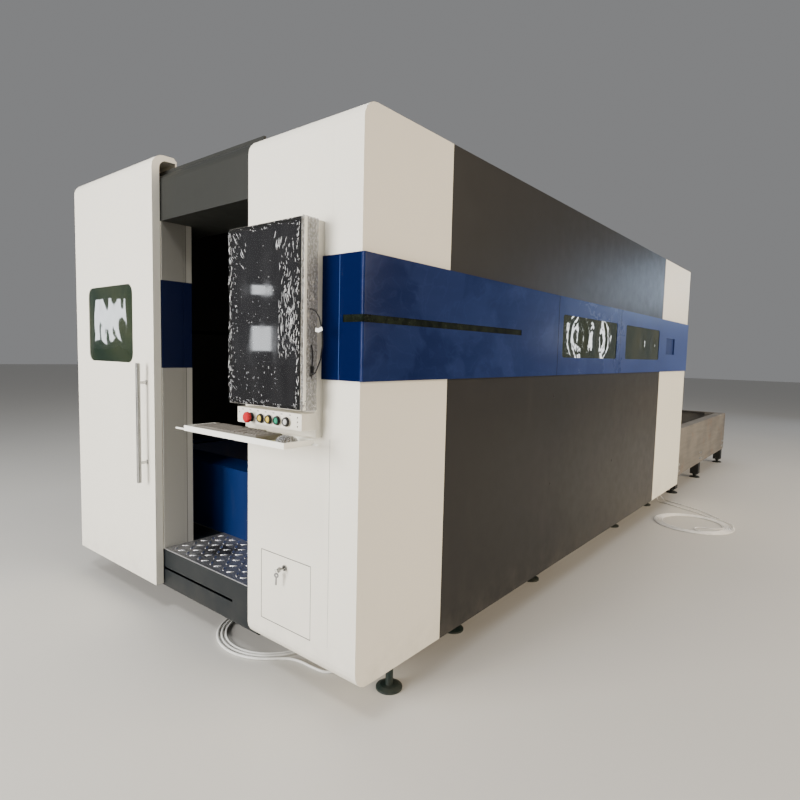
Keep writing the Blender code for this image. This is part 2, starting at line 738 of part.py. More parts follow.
def build_door(finishes, parent):
    """The sliding door: a hollow folded leaf whose top turns over the header like a cane."""
    right = DOORWAY_LEFT - RUNNING
    left = right - DOOR_WIDTH
    front, back = FRONT, FRONT + DOOR_THICK
    low, high = BASE, BASE + DOOR_TOP
    hook_end = FRONT + HOOK_REACH
    under = high - HOOK_THICK
    inner_bend = DOOR_BEND - HOOK_THICK
    lip = [
        (hook_end, high - FOLD_RADIUS / 4),
        (hook_end, under - HOOK_LIP),
        (hook_end - 2 * SHEET, under - HOOK_LIP),
        (hook_end - 2 * SHEET, under),
    ]
    outline = (
        [(front, low), (back, low), (back, under - inner_bend)]
        + corner_arc((back + inner_bend, under - inner_bend), inner_bend, 90)[::-1]
        + lip[::-1]
        + [(hook_end - FOLD_RADIUS / 4, high)]
        + corner_arc((front + DOOR_BEND, high - DOOR_BEND), DOOR_BEND, 90)
    )
    door = empty("door", (left, FRONT, BASE))
    door.parent = parent
    leaf = solid("door_panel", prism(outline, "X", left, right), finishes["white"], door, smooth=True)
    hollow = (
        (left + DOOR_SKIN, front + DOOR_SKIN, low - DOOR_SKIN),
        (right - DOOR_SKIN, back - DOOR_SKIN, under - inner_bend),
    )
    window = rounded(
        (left + PANE_LEFT, BASE + PANE_LOW),
        (left + PANE_LEFT + PANE_WIDTH, BASE + PANE_HIGH),
        (PANE_CORNER,) * 4,
    )
    cut(leaf, shape(hollow), prism(window, "Y", front - DOOR_THICK, back + DOOR_THICK))
    frame_low = left + PANE_LEFT - PANE_LAP, BASE + PANE_LOW - PANE_LAP
    frame_high = left + PANE_LEFT + PANE_WIDTH + PANE_LAP, BASE + PANE_HIGH + PANE_LAP
    pane = rounded(frame_low, frame_high, (PANE_CORNER + PANE_LAP,) * 4)
    seat = front + DOOR_SKIN + FIT
    solid("door_pane", prism(pane, "Y", seat, seat + DOOR_PANE_THICK), finishes["pane"], door)
    build_handle(right, finishes, door)
    axle_high = BASE + HEADER_HIGH + TRACK_HEIGHT + ROLLER_RADIUS + FIT
    axle_end = FRONT + TRACK_BACK + ROLLER_WIDTH / 2 + SHEET
    for number, x in enumerate((left + ROLLER_INSET, right - ROLLER_INSET), 1):
        axle = rod((x, back - DOOR_SKIN / 2, axle_high), (0, 1, 0), AXLE_RADIUS, axle_end - back, 12)
        join(leaf, axle)
        half = ROLLER_WIDTH / 2
        bore = AXLE_RADIUS + FIT
        place = Vector((x, FRONT + TRACK_BACK, axle_high))
        ring = [(-half, bore), (-half, ROLLER_RADIUS), (half, ROLLER_RADIUS), (half, bore), (-half, bore)]
        solid(
            f"door_roller_{number}", turned(ring, place, (0, 1, 0), 24), finishes["steel"], door,
            origin=place, smooth=True,
        )
    pin = Vector((right - GUIDE_PIN_INSET, back - DOOR_SKIN / 2, BASE + GUIDE_SLOT_HEIGHT))
    join(leaf, rod(pin, (0, 1, 0), GUIDE_PIN_RADIUS, RECESS - DOOR_THICK + 4 * SHEET, 12))


def build_handle(door_right, finishes, door):
    """The door's square bar handle on its two standoffs."""
    centre = door_right - HANDLE_FROM_EDGE
    half = HANDLE_BAR / 2
    face = FRONT - HANDLE_REACH
    boxes = [((centre - half, face, BASE + HANDLE_LOW), (centre + half, face + HANDLE_BAR, BASE + HANDLE_HIGH))]
    handle = solid("door_handle", shape(*boxes), finishes["steel"], door)
    for height in (STANDOFF_LOW, STANDOFF_HIGH):
        low = (centre - half, face + half, BASE + height - STANDOFF_SIDE / 2)
        high = (centre + half, FRONT - FIT, BASE + height + STANDOFF_SIDE / 2)
        join(handle, shape((low, high)))


def build_hatch(finishes, parent):
    """The access hatch in the block, hinged at its foot, and the key of its cam lock."""
    hatch = empty("hatch_hinge", here((HATCH_LEFT + HATCH_RIGHT) / 2, 0, HATCH_LOW + FIT))
    hatch.parent = parent
    leaf = (
        here(HATCH_LEFT - HATCH_GAP, 0, HATCH_LOW + FIT),
        here(HATCH_RIGHT + HATCH_GAP, HATCH_THICK, HATCH_HIGH - HATCH_GAP),
    )
    lock = here((HATCH_LEFT + HATCH_RIGHT) / 2, 0, HATCH_HIGH - LOCK_BELOW_TOP)
    door = solid("hatch", shape(leaf), finishes["white"], hatch)
    bore = KEY_THICK + FIT
    join(door, rod(lock + Vector((0, SHEET, 0)), (0, -1, 0), LOCK_RADIUS, LOCK_PROUD + SHEET, 20))
    cut(door, rod(lock - Vector((0, 2 * LOCK_PROUD, 0)), (0, 1, 0), bore, 2 * (LOCK_PROUD + HATCH_THICK), 12))
    spindle = rod(
        lock - Vector((0, LOCK_PROUD + KEY_LENGTH / 3, 0)), (0, 1, 0), KEY_THICK,
        LOCK_PROUD + KEY_LENGTH / 3 + HATCH_THICK + CAM_THICK, 12,
    )
    key = solid("hatch_key", spindle, finishes["steel"], hatch, origin=lock)
    bow = (
        lock + Vector((-KEY_LENGTH / 3, -LOCK_PROUD - KEY_LENGTH, -KEY_THICK / 2)),
        lock + Vector((KEY_LENGTH / 3, -LOCK_PROUD - KEY_LENGTH / 4, KEY_THICK / 2)),
    )
    cam = (
        lock + Vector((-CAM_WIDTH / 2, HATCH_THICK + FIT, -CAM_WIDTH / 2)),
        lock + Vector((LOCK_BELOW_TOP + CAM_OVERLAP, HATCH_THICK + FIT + CAM_THICK, CAM_WIDTH / 2)),
    )
    join(key, shape(bow), shape(cam))


def build_console(finishes, parent):
    """The console: a back box on the block, the upright monitor, and the panel of buttons under it."""
    console = empty("console", here((CONSOLE_LEFT + CONSOLE_RIGHT) / 2, 0, CONSOLE_LOW))
    console.parent = parent
    box = (
        here(CONSOLE_LEFT, -CONSOLE_BOX_DEPTH, CONSOLE_LOW),
        here(CONSOLE_RIGHT, -FIT, CONSOLE_HIGH),
    )
    back_box = solid("console_box", shape(box), finishes["white"], console)
    hollow = (
        here(CONSOLE_LEFT - SHEET, SHEET - CONSOLE_BOX_DEPTH, CONSOLE_LOW + SHEET),
        here(CONSOLE_RIGHT + SHEET, SHEET, CONSOLE_HIGH - SHEET),
    )
    cut(back_box, shape(hollow))
    rear = -CONSOLE_BOX_DEPTH - FIT
    face = rear - MONITOR_DEPTH
    case = (here(CONSOLE_LEFT, face, MONITOR_LOW), here(CONSOLE_RIGHT, rear, CONSOLE_HIGH))
    monitor = solid("monitor", shape(case), finishes["white"], console)
    seat = SCREEN_RECESS + SCREEN_THICK + FIT
    well = (
        here(CONSOLE_LEFT - BEZEL, face - seat, MONITOR_LOW + BEZEL),
        here(CONSOLE_RIGHT + BEZEL, face + seat, CONSOLE_HIGH - BEZEL),
    )
    cut(monitor, shape(well))
    glass = (
        here(CONSOLE_LEFT - BEZEL - FIT, face + SCREEN_RECESS, MONITOR_LOW + BEZEL + FIT),
        here(CONSOLE_RIGHT + BEZEL + FIT, face + SCREEN_RECESS + SCREEN_THICK, CONSOLE_HIGH - BEZEL - FIT),
    )
    solid("screen", shape(glass), finishes["screen"], console)
    build_buttons(rear, finishes, console)
    build_lead(face, finishes, console)


def build_buttons(rear, finishes, console):
    front = rear - PANEL_REACH
    body = (here(PANEL_LEFT, front, PANEL_LOW), here(CONSOLE_RIGHT, rear, PANEL_HIGH))
    panel = solid("button_panel", shape(body), finishes["white"], console)
    towards = (0, -1, 0)
    floor = front + BUTTON_PROUD
    for place in (*BUTTON_PLACES.values(), ESTOP_PLACE):
        spot = here(place, front + SHEET, BUTTON_HEIGHT)
        join(panel, rod(spot, towards, COLLAR_RADIUS, COLLAR_PROUD + SHEET, 20))
        hole = BUTTON_RADIUS if place != ESTOP_PLACE else ESTOP_STEM
        well = here(place, floor + BUTTON_TRAVEL + ESTOP_TRAVEL, BUTTON_HEIGHT)
        cut(panel, rod(well, towards, hole + FIT, 2 * BUTTON_PROUD + BUTTON_TRAVEL + ESTOP_TRAVEL, 20))
    for name, place in BUTTON_PLACES.items():
        spot = here(place, floor, BUTTON_HEIGHT)
        length = BUTTON_PROUD * 2
        crown = [(0, 0), (0, BUTTON_RADIUS), (length - SHEET, BUTTON_RADIUS),
                 (length, BUTTON_RADIUS - SHEET), (length, 0)]
        solid(
            f"button_{name}", turned(crown, spot, towards, 20), finishes[name.split("_")[0]], console,
            origin=spot, smooth=True,
        )
    spot = here(ESTOP_PLACE, floor, BUTTON_HEIGHT)
    head = BUTTON_PROUD + ESTOP_PROUD
    mushroom = [
        (0, 0), (0, ESTOP_STEM), (head - ESTOP_HEAD, ESTOP_STEM), (head - ESTOP_HEAD, ESTOP_RADIUS),
        (head - ESTOP_HEAD / 3, ESTOP_RADIUS), (head, ESTOP_RADIUS * 0.75), (head, 0),
    ]
    solid(
        "estop", turned(mushroom, spot, towards, 24), finishes["red"], console, origin=spot, smooth=True
    )


def tube(name, route, diameter, finish, parent, close=3):
    """A plain round cord along a smooth curve through its route's points."""
    points = smooth_route(route, close * diameter)
    curve = bpy.data.curves.new(name, "CURVE")
    curve.dimensions = "3D"
    curve.bevel_depth = diameter / 2
    curve.bevel_resolution = 2
    curve.use_fill_caps = True
    spline = curve.splines.new("POLY")
    spline.points.add(len(points) - 1)
    for spot, point in zip(spline.points, points):
        spot.co = (*(point - parent.location), 1.0)
    curve.materials.append(finish)
    piece = bpy.data.objects.new(name, curve)
    bpy.context.scene.collection.objects.link(piece)
    piece.parent = parent
    return piece


def smooth_route(route, spacing):
    """Points about every spacing along the Catmull-Rom curve through the route, 80 at the most."""
    knots = [Vector(point) for point in route]
    ends = [2 * knots[0] - knots[1], *knots, 2 * knots[-1] - knots[-2]]
    length = sum((b - a).length for a, b in zip(knots, knots[1:]))
    steps = max(1, min(78, round(length / spacing)) // (len(knots) - 1))
    lowest = min(knot.z for knot in knots)
    points = []
    for p0, p1, p2, p3 in zip(ends, ends[1:], ends[2:], ends[3:]):
        for step in range(steps):
            t = step / steps
            spot = 2 * p1 + (p2 - p0) * t + (2 * p0 - 5 * p1 + 4 * p2 - p3) * t**2
            spot = (spot + (3 * p1 - p0 - 3 * p2 + p3) * t**3) / 2
            points.append(Vector((spot.x, spot.y, max(spot.z, lowest))))
    return [*points, knots[-1]]


def build_lead(face, finishes, console):
    """The thin lead looped at the monitor's side, held at both ends."""
    side = CONSOLE_RIGHT - FIT
    back = face + MONITOR_DEPTH / 2
    route = [
        here(side, back, 1.392),
        here(side - 0.006, back, 1.392),
        here(side - 0.012, back, 1.392),
        here(side - 0.028, back + 0.005, 1.384),
        here(side - 0.042, back + 0.010, 1.362),
        here(side - 0.052, back + 0.014, 1.320),
        here(side - 0.054, back + 0.016, 1.268),
        here(side - 0.046, back + 0.014, 1.212),
        here(side - 0.030, back + 0.006, 1.166),
        here(side - 0.012, back, 1.154),
        here(side - 0.006, back, 1.154),
        here(side, back, 1.154),
    ]
    tube("console_lead", route, LEAD, finishes["black"], console)


def build_tray(finishes, parent):
    """The keyboard tray on its two arms, with the keyboard and the mouse lying on it."""
    tray = empty("tray_mount", here((TRAY_LEFT + TRAY_RIGHT) / 2, 0, TRAY_LOW))
    tray.parent = parent
    pan = (here(TRAY_LEFT, -TRAY_REACH, TRAY_LOW), here(TRAY_RIGHT, -TRAY_BACK, TRAY_LOW + TRAY_LIP))
    piece = solid("keyboard_tray", shape(pan), finishes["white"], tray)
    well = (
        here(TRAY_LEFT - TRAY_SHEET, TRAY_SHEET - TRAY_REACH, TRAY_LOW + TRAY_SHEET),
        here(TRAY_RIGHT + TRAY_SHEET, -TRAY_BACK - TRAY_SHEET, TRAY_LOW + 2 * TRAY_LIP),
    )
    cut(piece, shape(well))
    for place in TRAY_ARMS:
        low = here(place + TRAY_ARM_WIDTH / 2, -TRAY_BACK - TRAY_SHEET / 2, TRAY_LOW)
        high = here(place - TRAY_ARM_WIDTH / 2, -FIT, TRAY_LOW + TRAY_ARM_THICK)
        join(piece, shape((low, high)))
    left_pin = here(TRAY_LEFT - TRAY_SHEET / 2, -TRAY_REACH + 2 * TRAY_PIN_RADIUS, TRAY_LOW + TRAY_PIN_RADIUS)
    right_pin = here(TRAY_RIGHT + TRAY_SHEET / 2, -TRAY_BACK - 2 * TRAY_PIN_RADIUS, TRAY_LOW + TRAY_PIN_RADIUS)
    join(piece, rod(left_pin, (-1, 0, 0), TRAY_PIN_RADIUS, TRAY_PIN_LEFT, 8))
    join(piece, rod(right_pin, (1, 0, 0), TRAY_PIN_RADIUS, TRAY_PIN_RIGHT, 8))
    floor = TRAY_LOW + TRAY_SHEET + FIT
    middle = -(TRAY_REACH + TRAY_BACK) / 2
    key_left = TRAY_LEFT - KEYBOARD_FROM_LEFT
    board = (
        here(key_left, middle - KEYBOARD_DEPTH / 2, floor),
        here(key_left - KEYBOARD_LENGTH, middle + KEYBOARD_DEPTH / 2, floor + KEYBOARD_THICK),
    )
    keyboard = solid("keyboard", shape(board), finishes["keyboard"], tray)
    slope = keyboard.modifiers.new("edges", "BEVEL")
    slope.width = KEYBOARD_THICK / 4
    slope.segments = 1
    centre = here(TRAY_RIGHT + MOUSE_FROM_RIGHT + MOUSE_WIDTH / 2, middle, floor)
    dome = [(0, 0), (0, 0.46), (0.25, 0.50), (0.60, 0.44), (0.88, 0.26), (1.0, 0.0)]
    made = turned(dome, (0, 0, 0), (0, 0, 1), 16)
    bmesh.ops.scale(made, vec=(MOUSE_WIDTH, MOUSE_LENGTH, MOUSE_HEIGHT), verts=made.verts)
    bmesh.ops.translate(made, vec=centre, verts=made.verts)
    solid("mouse", made, finishes["black"], tray, smooth=True)


def foot(x, y, top):
    """A levelling foot: its stem from top down to the floor, and the round pad that it stands on."""
    profile = [
        (0, 0), (0, PAD_RADIUS), (PAD_THICK * 0.6, PAD_RADIUS), (PAD_THICK, PAD_RADIUS * 0.7),
        (PAD_THICK, LEG_RADIUS), (top, LEG_RADIUS), (top, 0),
    ]
    return turned(profile, (x, y, 0.0), (0, 0, 1), 16)


def beam_profile(low, high, wall, outer, inner):
    """Half of a box beam's section with its two pallet ledges, as a channel open to the outside."""
    ledges = []
    for ledge in (LOWER_LEDGE, UPPER_LEDGE):
        top = BASE + ledge
        ledges += [
            (inner, top - LEDGE_THICK), (inner - LEDGE_REACH, top - LEDGE_THICK),
            (inner - LEDGE_REACH, top), (inner, top),
        ]
    return [(inner, low), *ledges, (inner, high), (outer, high), (outer, high - wall),
            (inner + wall, high - wall), (inner + wall, low + wall), (outer, low + wall), (outer, low)]


def build_bed(finishes, parent):
    """The welded bed: a channel beam along each side, and the deep cross beam that faces the doorway."""
    start = FRONT + BEAM_FRONT + FIT
    end = FRONT + SHELL_LENGTH - PANEL_DEPTH - FIT
    for side, tag in ((1, "right"), (-1, "left")):
        profile = beam_profile(BASE + BEAM_LOW, BASE + BEAM_HIGH, BEAM_WALL, BEAM_OUTER, BEAM_INNER)
        beam = solid(f"bed_beam_{tag}", mirrored(prism(profile, "Y", start, end), side), finishes["blue"], parent)
        middle = (BEAM_OUTER + BEAM_INNER) / 2
        rail = (
            (middle - RAIL_WIDTH / 2, start, BASE + BEAM_HIGH - BEAM_WALL / 2),
            (middle + RAIL_WIDTH / 2, end, BASE + BEAM_HIGH + RAIL_HEIGHT),
        )
        join(beam, mirrored(shape(rail), side))
        for seam in (SEAM_1, SEAM_2, FAR_PANEL_START):
            low = (BEAM_OUTER - BEAM_WALL, FRONT + seam - OUTRIGGER_LONG / 2, BASE + OUTRIGGER_LOW)
            high = (
                RIGHT - PANEL_DEPTH - FIT, FRONT + seam + OUTRIGGER_LONG / 2,
                BASE + OUTRIGGER_LOW + OUTRIGGER_TALL,
            )
            join(beam, mirrored(shape(
                ((BEAM_INNER + BEAM_WALL / 2, low[1], low[2]), high)
            ), side))
        for place in BED_FEET:
            join(beam, foot(side * middle, FRONT + place, BASE + BEAM_LOW + BEAM_WALL / 2))
        if side > 0:
            for y in HOSE_GLANDS:
                spot = (RIGHT - GLAND_FROM_SIDE, FRONT + y, BASE + BEAM_LOW + BEAM_WALL / 2)
                join(beam, rod(spot, (0, 0, -1), GLAND_RADIUS, GLAND_TALL + BEAM_WALL / 2, 12))
    low = (-BEAM_OUTER, FRONT + BED_FRONT, BASE + FRONT_BEAM_LOW)
    high = (BEAM_OUTER, FRONT + BEAM_FRONT, BASE + FRONT_BEAM_HIGH)
    cross = solid("bed_front_beam", shape((low, high)), finishes["blue"], parent)
    bore = (
        (-2 * BEAM_OUTER, low[1] + BEAM_WALL, low[2] + BEAM_WALL),
        (2 * BEAM_OUTER, high[1] - BEAM_WALL, high[2] - BEAM_WALL),
    )
    cut(cross, shape(bore))


def build_gantry(finishes, parent):
    """The gantry on the bed's rails, its carriage, and the cutting head that rises and falls on it."""
    middle = (BEAM_OUTER + BEAM_INNER) / 2
    y = FRONT + GANTRY_PLACE
    rail_top = BASE + BEAM_HIGH + RAIL_HEIGHT
    low = BASE + GANTRY_LOW
    high = low + GANTRY_TALL
    gantry = empty("gantry_slide", (0.0, y, rail_top))
    gantry.parent = parent
    reach = middle + SHOE_WIDTH / 2
    front = y - GANTRY_DEPTH / 2
    beam = shape(((-reach, front, low), (reach, y + GANTRY_DEPTH / 2, high)))
    piece = solid("gantry", beam, finishes["grey"], gantry)
    wall = GANTRY_WALL
    hollow = (
        (-2 * reach, front + wall, low + wall),
        (2 * reach, y + GANTRY_DEPTH / 2 - wall, high - wall),
    )
    cut(piece, shape(hollow))
    half, grip = SHOE_WIDTH / 2, RAIL_WIDTH / 2 + FIT
    for side in (1, -1):
        shoe = [
            (middle - half, rail_top - SHOE_GRIP), (middle - grip, rail_top - SHOE_GRIP),
            (middle - grip, rail_top + FIT), (middle + grip, rail_top + FIT),
            (middle + grip, rail_top - SHOE_GRIP), (middle + half, rail_top - SHOE_GRIP),
            (middle + half, low + wall / 2), (middle - half, low + wall / 2),
        ]
        join(piece, mirrored(prism(shoe, "Y", y - SHOE_LENGTH / 2, y + SHOE_LENGTH / 2), side))
        motor = (
            (middle - half, y - MOTOR_SIDE / 2, high - wall / 2),
            (middle - half + MOTOR_SIDE, y + MOTOR_SIDE / 2, high + MOTOR_TALL),
        )
        join(piece, mirrored(shape(motor), side))
    for height in (low + CROSS_RAIL, high - 2 * CROSS_RAIL):
        rail = ((-reach + wall, front - CROSS_RAIL, height), (reach - wall, front + wall / 2, height + CROSS_RAIL))
        join(piece, shape(rail))
    face = front - CROSS_RAIL - FIT
    centre = (low + high) / 2
    plate = (
        (-CARRIAGE_WIDTH / 2, face - CARRIAGE_THICK, centre - CARRIAGE_TALL / 2),
        (CARRIAGE_WIDTH / 2, face, centre + CARRIAGE_TALL / 2),
    )
    carriage = empty("carriage_slide", (0.0, face, centre))
    carriage.parent = gantry
    carriage.location = Vector((0.0, face, centre)) - gantry.location
    place_solid("x_carriage", shape(plate), finishes["steel"], carriage, (0.0, face, centre))
    near = face - CARRIAGE_THICK - FIT
    tip = BASE + SLAT_TOP + HEAD_ABOVE_SLATS
    body_low = tip + NOZZLE_TALL
    spot = (0.0, near - HEAD_DEPTH / 2, tip)
    body = (
        (-HEAD_WIDTH / 2, near - HEAD_DEPTH, body_low - SHEET),
        (HEAD_WIDTH / 2, near, body_low + HEAD_TALL),
    )
    cone = [(0, 0), (0, NOZZLE_TIP), (NOZZLE_TALL * 0.8, NOZZLE_RADIUS), (NOZZLE_TALL, NOZZLE_RADIUS), (NOZZLE_TALL, 0)]
    head = place_solid("cutting_head", shape(body), finishes["steel"], carriage, spot)
    join(head, turned(cone, spot, (0, 0, 1), 20))


def place_solid(name, made, finish, parent, origin):
    """A piece under an empty that is itself parented, so that its place is counted from the world."""
    bpy.context.view_layer.update()
    world = parent.matrix_world.translation.copy()
    piece = solid(name, made, finish, parent, origin=origin)
    piece.location = Vector(origin) - world
    return piece


def slat_profile(half, low, high):
    """A slat's outline across the pallet: straight below, and toothed along its upper edge."""
    outline = [(-half, low), (half, low), (half, high - TOOTH_DEPTH)]
    pitch = 2 * half / TOOTH_COUNT
    for tooth in range(TOOTH_COUNT):
        x = half - tooth * pitch
        outline += [(x - pitch / 2, high), (x - pitch, high - TOOTH_DEPTH)]
    return outline


def build_pallet(name, ledge, start, finishes, parent):
    """A pallet: its welded frame on wheels, and the toothed slats that carry the sheet."""
    half = PALLET_WIDTH / 2
    low = BASE + ledge + WHEEL_RADIUS
    high = low + PALLET_TALL
    origin = (0.0, FRONT + start, BASE + ledge)
    end = FRONT + start + PALLET_LENGTH
    made = shape(((-half, origin[1], low), (half, end, high)))
    pallet = place_solid(name, made, finishes["taupe"], parent, origin)
    bay = (
        (-half + PALLET_RAIL, origin[1] + PALLET_RAIL, low - PALLET_TALL),
        (half - PALLET_RAIL, end - PALLET_RAIL, high + PALLET_TALL),
    )
    cut(pallet, shape(bay))
    profile = slat_profile(half - PALLET_RAIL / 2, low + PALLET_RAIL / 3, high + SLAT_PROUD)
    pitch = (PALLET_LENGTH - 2 * PALLET_RAIL) / (SLAT_COUNT + 1)
    slats = bmesh.new()
    for number in range(SLAT_COUNT):
        y = origin[1] + PALLET_RAIL + pitch * (number + 1)
        one = bpy.data.meshes.new("slat")
        made = prism(profile, "Y", y - SLAT_THICK / 2, y + SLAT_THICK / 2)
        made.to_mesh(one)
        made.free()
        slats.from_mesh(one)
        bpy.data.meshes.remove(one)
    join(pallet, slats)
    for place in WHEEL_PLACES:
        for side in (1, -1):
            spot = (side * (half - SHEET), origin[1] + place, low + FIT)
            join(pallet, rod(spot, (-side, 0, 0), WHEEL_RADIUS, WHEEL_THICK, 16))


def build_exchange_frame(finishes, parent):
    """The exchange frame behind the machine: two deep sides with ledges for both pallets, and its end."""
    start = FRONT + SHELL_LENGTH + FIT
    end = FRONT + SHELL_LENGTH + TABLE_LENGTH
    outer = RIGHT - TABLE_INSET
    low, high = BASE + TABLE_LOW, BASE + TABLE_HIGH
    web = outer - TABLE_WEB
    shelf = BEAM_INNER - LEDGE_REACH
    upper, lower = BASE + UPPER_LEDGE, BASE + LOWER_LEDGE
    profile = [
        (outer, low), (outer, high), (outer - TABLE_FLANGE, high), (outer - TABLE_FLANGE, high - TABLE_WEB),
        (web, high - TABLE_WEB), (web, upper), (shelf, upper), (shelf, upper - LEDGE_THICK),
        (web, upper - LEDGE_THICK), (web, lower), (shelf, lower), (shelf, lower - LEDGE_THICK),
        (web, lower - LEDGE_THICK), (web, low + TABLE_WEB), (outer - TABLE_FLANGE, low + TABLE_WEB),
        (outer - TABLE_FLANGE, low),
    ]
    frame = solid("exchange_frame", prism(profile, "Y", start, end), finishes["taupe"], parent)
    join(frame, mirrored(prism(profile, "Y", start, end), -1))
    inside = end - TABLE_END_WALL
    join(frame, shape(((-web - TABLE_WEB / 2, inside, low), (web + TABLE_WEB / 2, end, high))))
    hollow = (
        (-shelf, inside - TABLE_WEB, low + TABLE_WEB),
        (shelf, end - TABLE_WEB, high - TABLE_WEB),
    )
    tie = ((-outer + TABLE_WEB / 2, start, low), (outer - TABLE_WEB / 2, start + TABLE_END_WALL, low + TABLE_WEB))
    cut(frame, shape(hollow))
    join(frame, shape(tie))
    side = TABLE_LEG_SIDE
    for place in TABLE_LEGS:
        for hand in (1, -1):
            y = FRONT + place
            post = (
                (outer - side, y - side / 2, 3 * PAD_THICK),
                (outer - TABLE_WEB / 4, y + side / 2, low + TABLE_WEB / 2),
            )
            join(frame, mirrored(shape(post), hand))
            join(frame, foot(hand * (outer - side / 2), y, 4 * PAD_THICK))


def ring(name, centre, radius, band, height, finish, parent):
    """The outer shape of a flat round coil that lies on the floor."""
    inner, outer = radius - band / 2, radius + band / 2
    profile = [(0, inner), (0, outer), (height, outer), (height, inner), (0, inner)]
    place = here(centre[0], centre[1], -BASE)
    return solid(name, turned(profile, place, (0, 0, 1), 32), finish, parent, origin=place)


def beside(centre, radius, turn_deg, height, along=0.0):
    """A point on the tangent that touches a coil's outer circle at an angle, at a height above the floor.

    A positive along lies anticlockwise of the touching point, and a negative one clockwise of it.
    """
    turn = radians(turn_deg)
    x = radius * cos(turn) - along * sin(turn)
    y = radius * sin(turn) + along * cos(turn)
    return here(centre[0], centre[1], -BASE) + Vector((x, y, height))


def build_cords(finishes, parent):
    """The front cable and the rear hose: each leaves the machine, lies in a coil and goes back into it."""
    ring(
        "front_cable_coil", CABLE_COIL_CENTRE, CABLE_COIL_RADIUS, CABLE_COIL_BAND, 2 * CABLE,
        finishes["cord"], parent,
    )
    lying = CABLE / 2 + FIT
    down = -GLAND_TALL - FIT
    edge = CABLE_COIL_RADIUS + CABLE_COIL_BAND / 2 + CABLE / 2 + 2 * FIT
    (x1, y1), (x2, y2) = CABLE_GLANDS
    drop = [
        here(x1, y1, down),
        here(x1, y1, down - 0.015),
        here(x1, y1, down - 0.030),
        here(x1 + 0.012, y1 + 0.002, down - 0.070),
        here(x1 + 0.045, y1 + 0.006, lying + 0.010 - BASE),
        here(x1 + 0.080, y1 + 0.022, lying - BASE),
        beside(CABLE_COIL_CENTRE, edge, 22.5, lying, -0.030),
        beside(CABLE_COIL_CENTRE, edge, 22.5, lying),
    ]
    run = [
        beside(CABLE_COIL_CENTRE, edge, -45, lying),
        beside(CABLE_COIL_CENTRE, edge, -45, lying, 0.030),
        here(0.556, 0.164, lying - BASE),
        here(0.500, 0.180, lying - BASE),
        here(0.430, 0.184, lying - BASE),
        here(0.360, 0.196, lying - BASE),
        here(x2 + 0.012, 0.245, lying + 0.012 - BASE),
        here(x2, y2 - 0.020, down - 0.060),
        here(x2, y2, down - 0.030),
        here(x2, y2, down - 0.015),
        here(x2, y2, down),
    ]
    tube("front_cable_drop", drop, CABLE, finishes["cord"], parent)
    tube("front_cable_run", run, CABLE, finishes["cord"], parent)
    ring(
        "rear_hose_coil", HOSE_COIL_CENTRE, HOSE_COIL_RADIUS, HOSE_COIL_BAND, HOSE_COIL_HIGH,
        finishes["cord"], parent,
    )
    lying = HOSE / 2 + FIT
    edge = HOSE_COIL_RADIUS + HOSE_COIL_BAND / 2 + HOSE / 2 + 2 * FIT
    down = BEAM_LOW - GLAND_TALL - FIT
    x = GLAND_FROM_SIDE
    near, far = HOSE_GLANDS
    drop = [
        here(x, near, down),
        here(x, near, down - 0.025),
        here(x, near, down - 0.050),
        here(x - 0.015, near - 0.010, down - 0.115),
        here(x - 0.060, near - 0.035, lying - BASE),
        here(-0.100, near - 0.125, lying - BASE),
        here(-0.270, near - 0.218, lying - BASE),
        beside(HOSE_COIL_CENTRE, edge, 67.5, lying, 0.060),
        beside(HOSE_COIL_CENTRE, edge, 67.5, lying),
    ]
    back = [
        here(x, far, down),
        here(x, far, down - 0.025),
        here(x, far, down - 0.050),
        here(x - 0.020, far - 0.006, down - 0.115),
        here(x - 0.075, far - 0.025, lying - BASE),
        here(-0.100, far - 0.110, lying - BASE),
        here(-0.290, far - 0.225, lying - BASE),
        here(-0.450, far - 0.370, lying - BASE),
        beside(HOSE_COIL_CENTRE, edge, 45, lying, 0.050),
        beside(HOSE_COIL_CENTRE, edge, 45, lying),
    ]
    tube("rear_hose_drop", drop, HOSE, finishes["cord"], parent)
    tube("rear_hose_return", back, HOSE, finishes["cord"], parent)


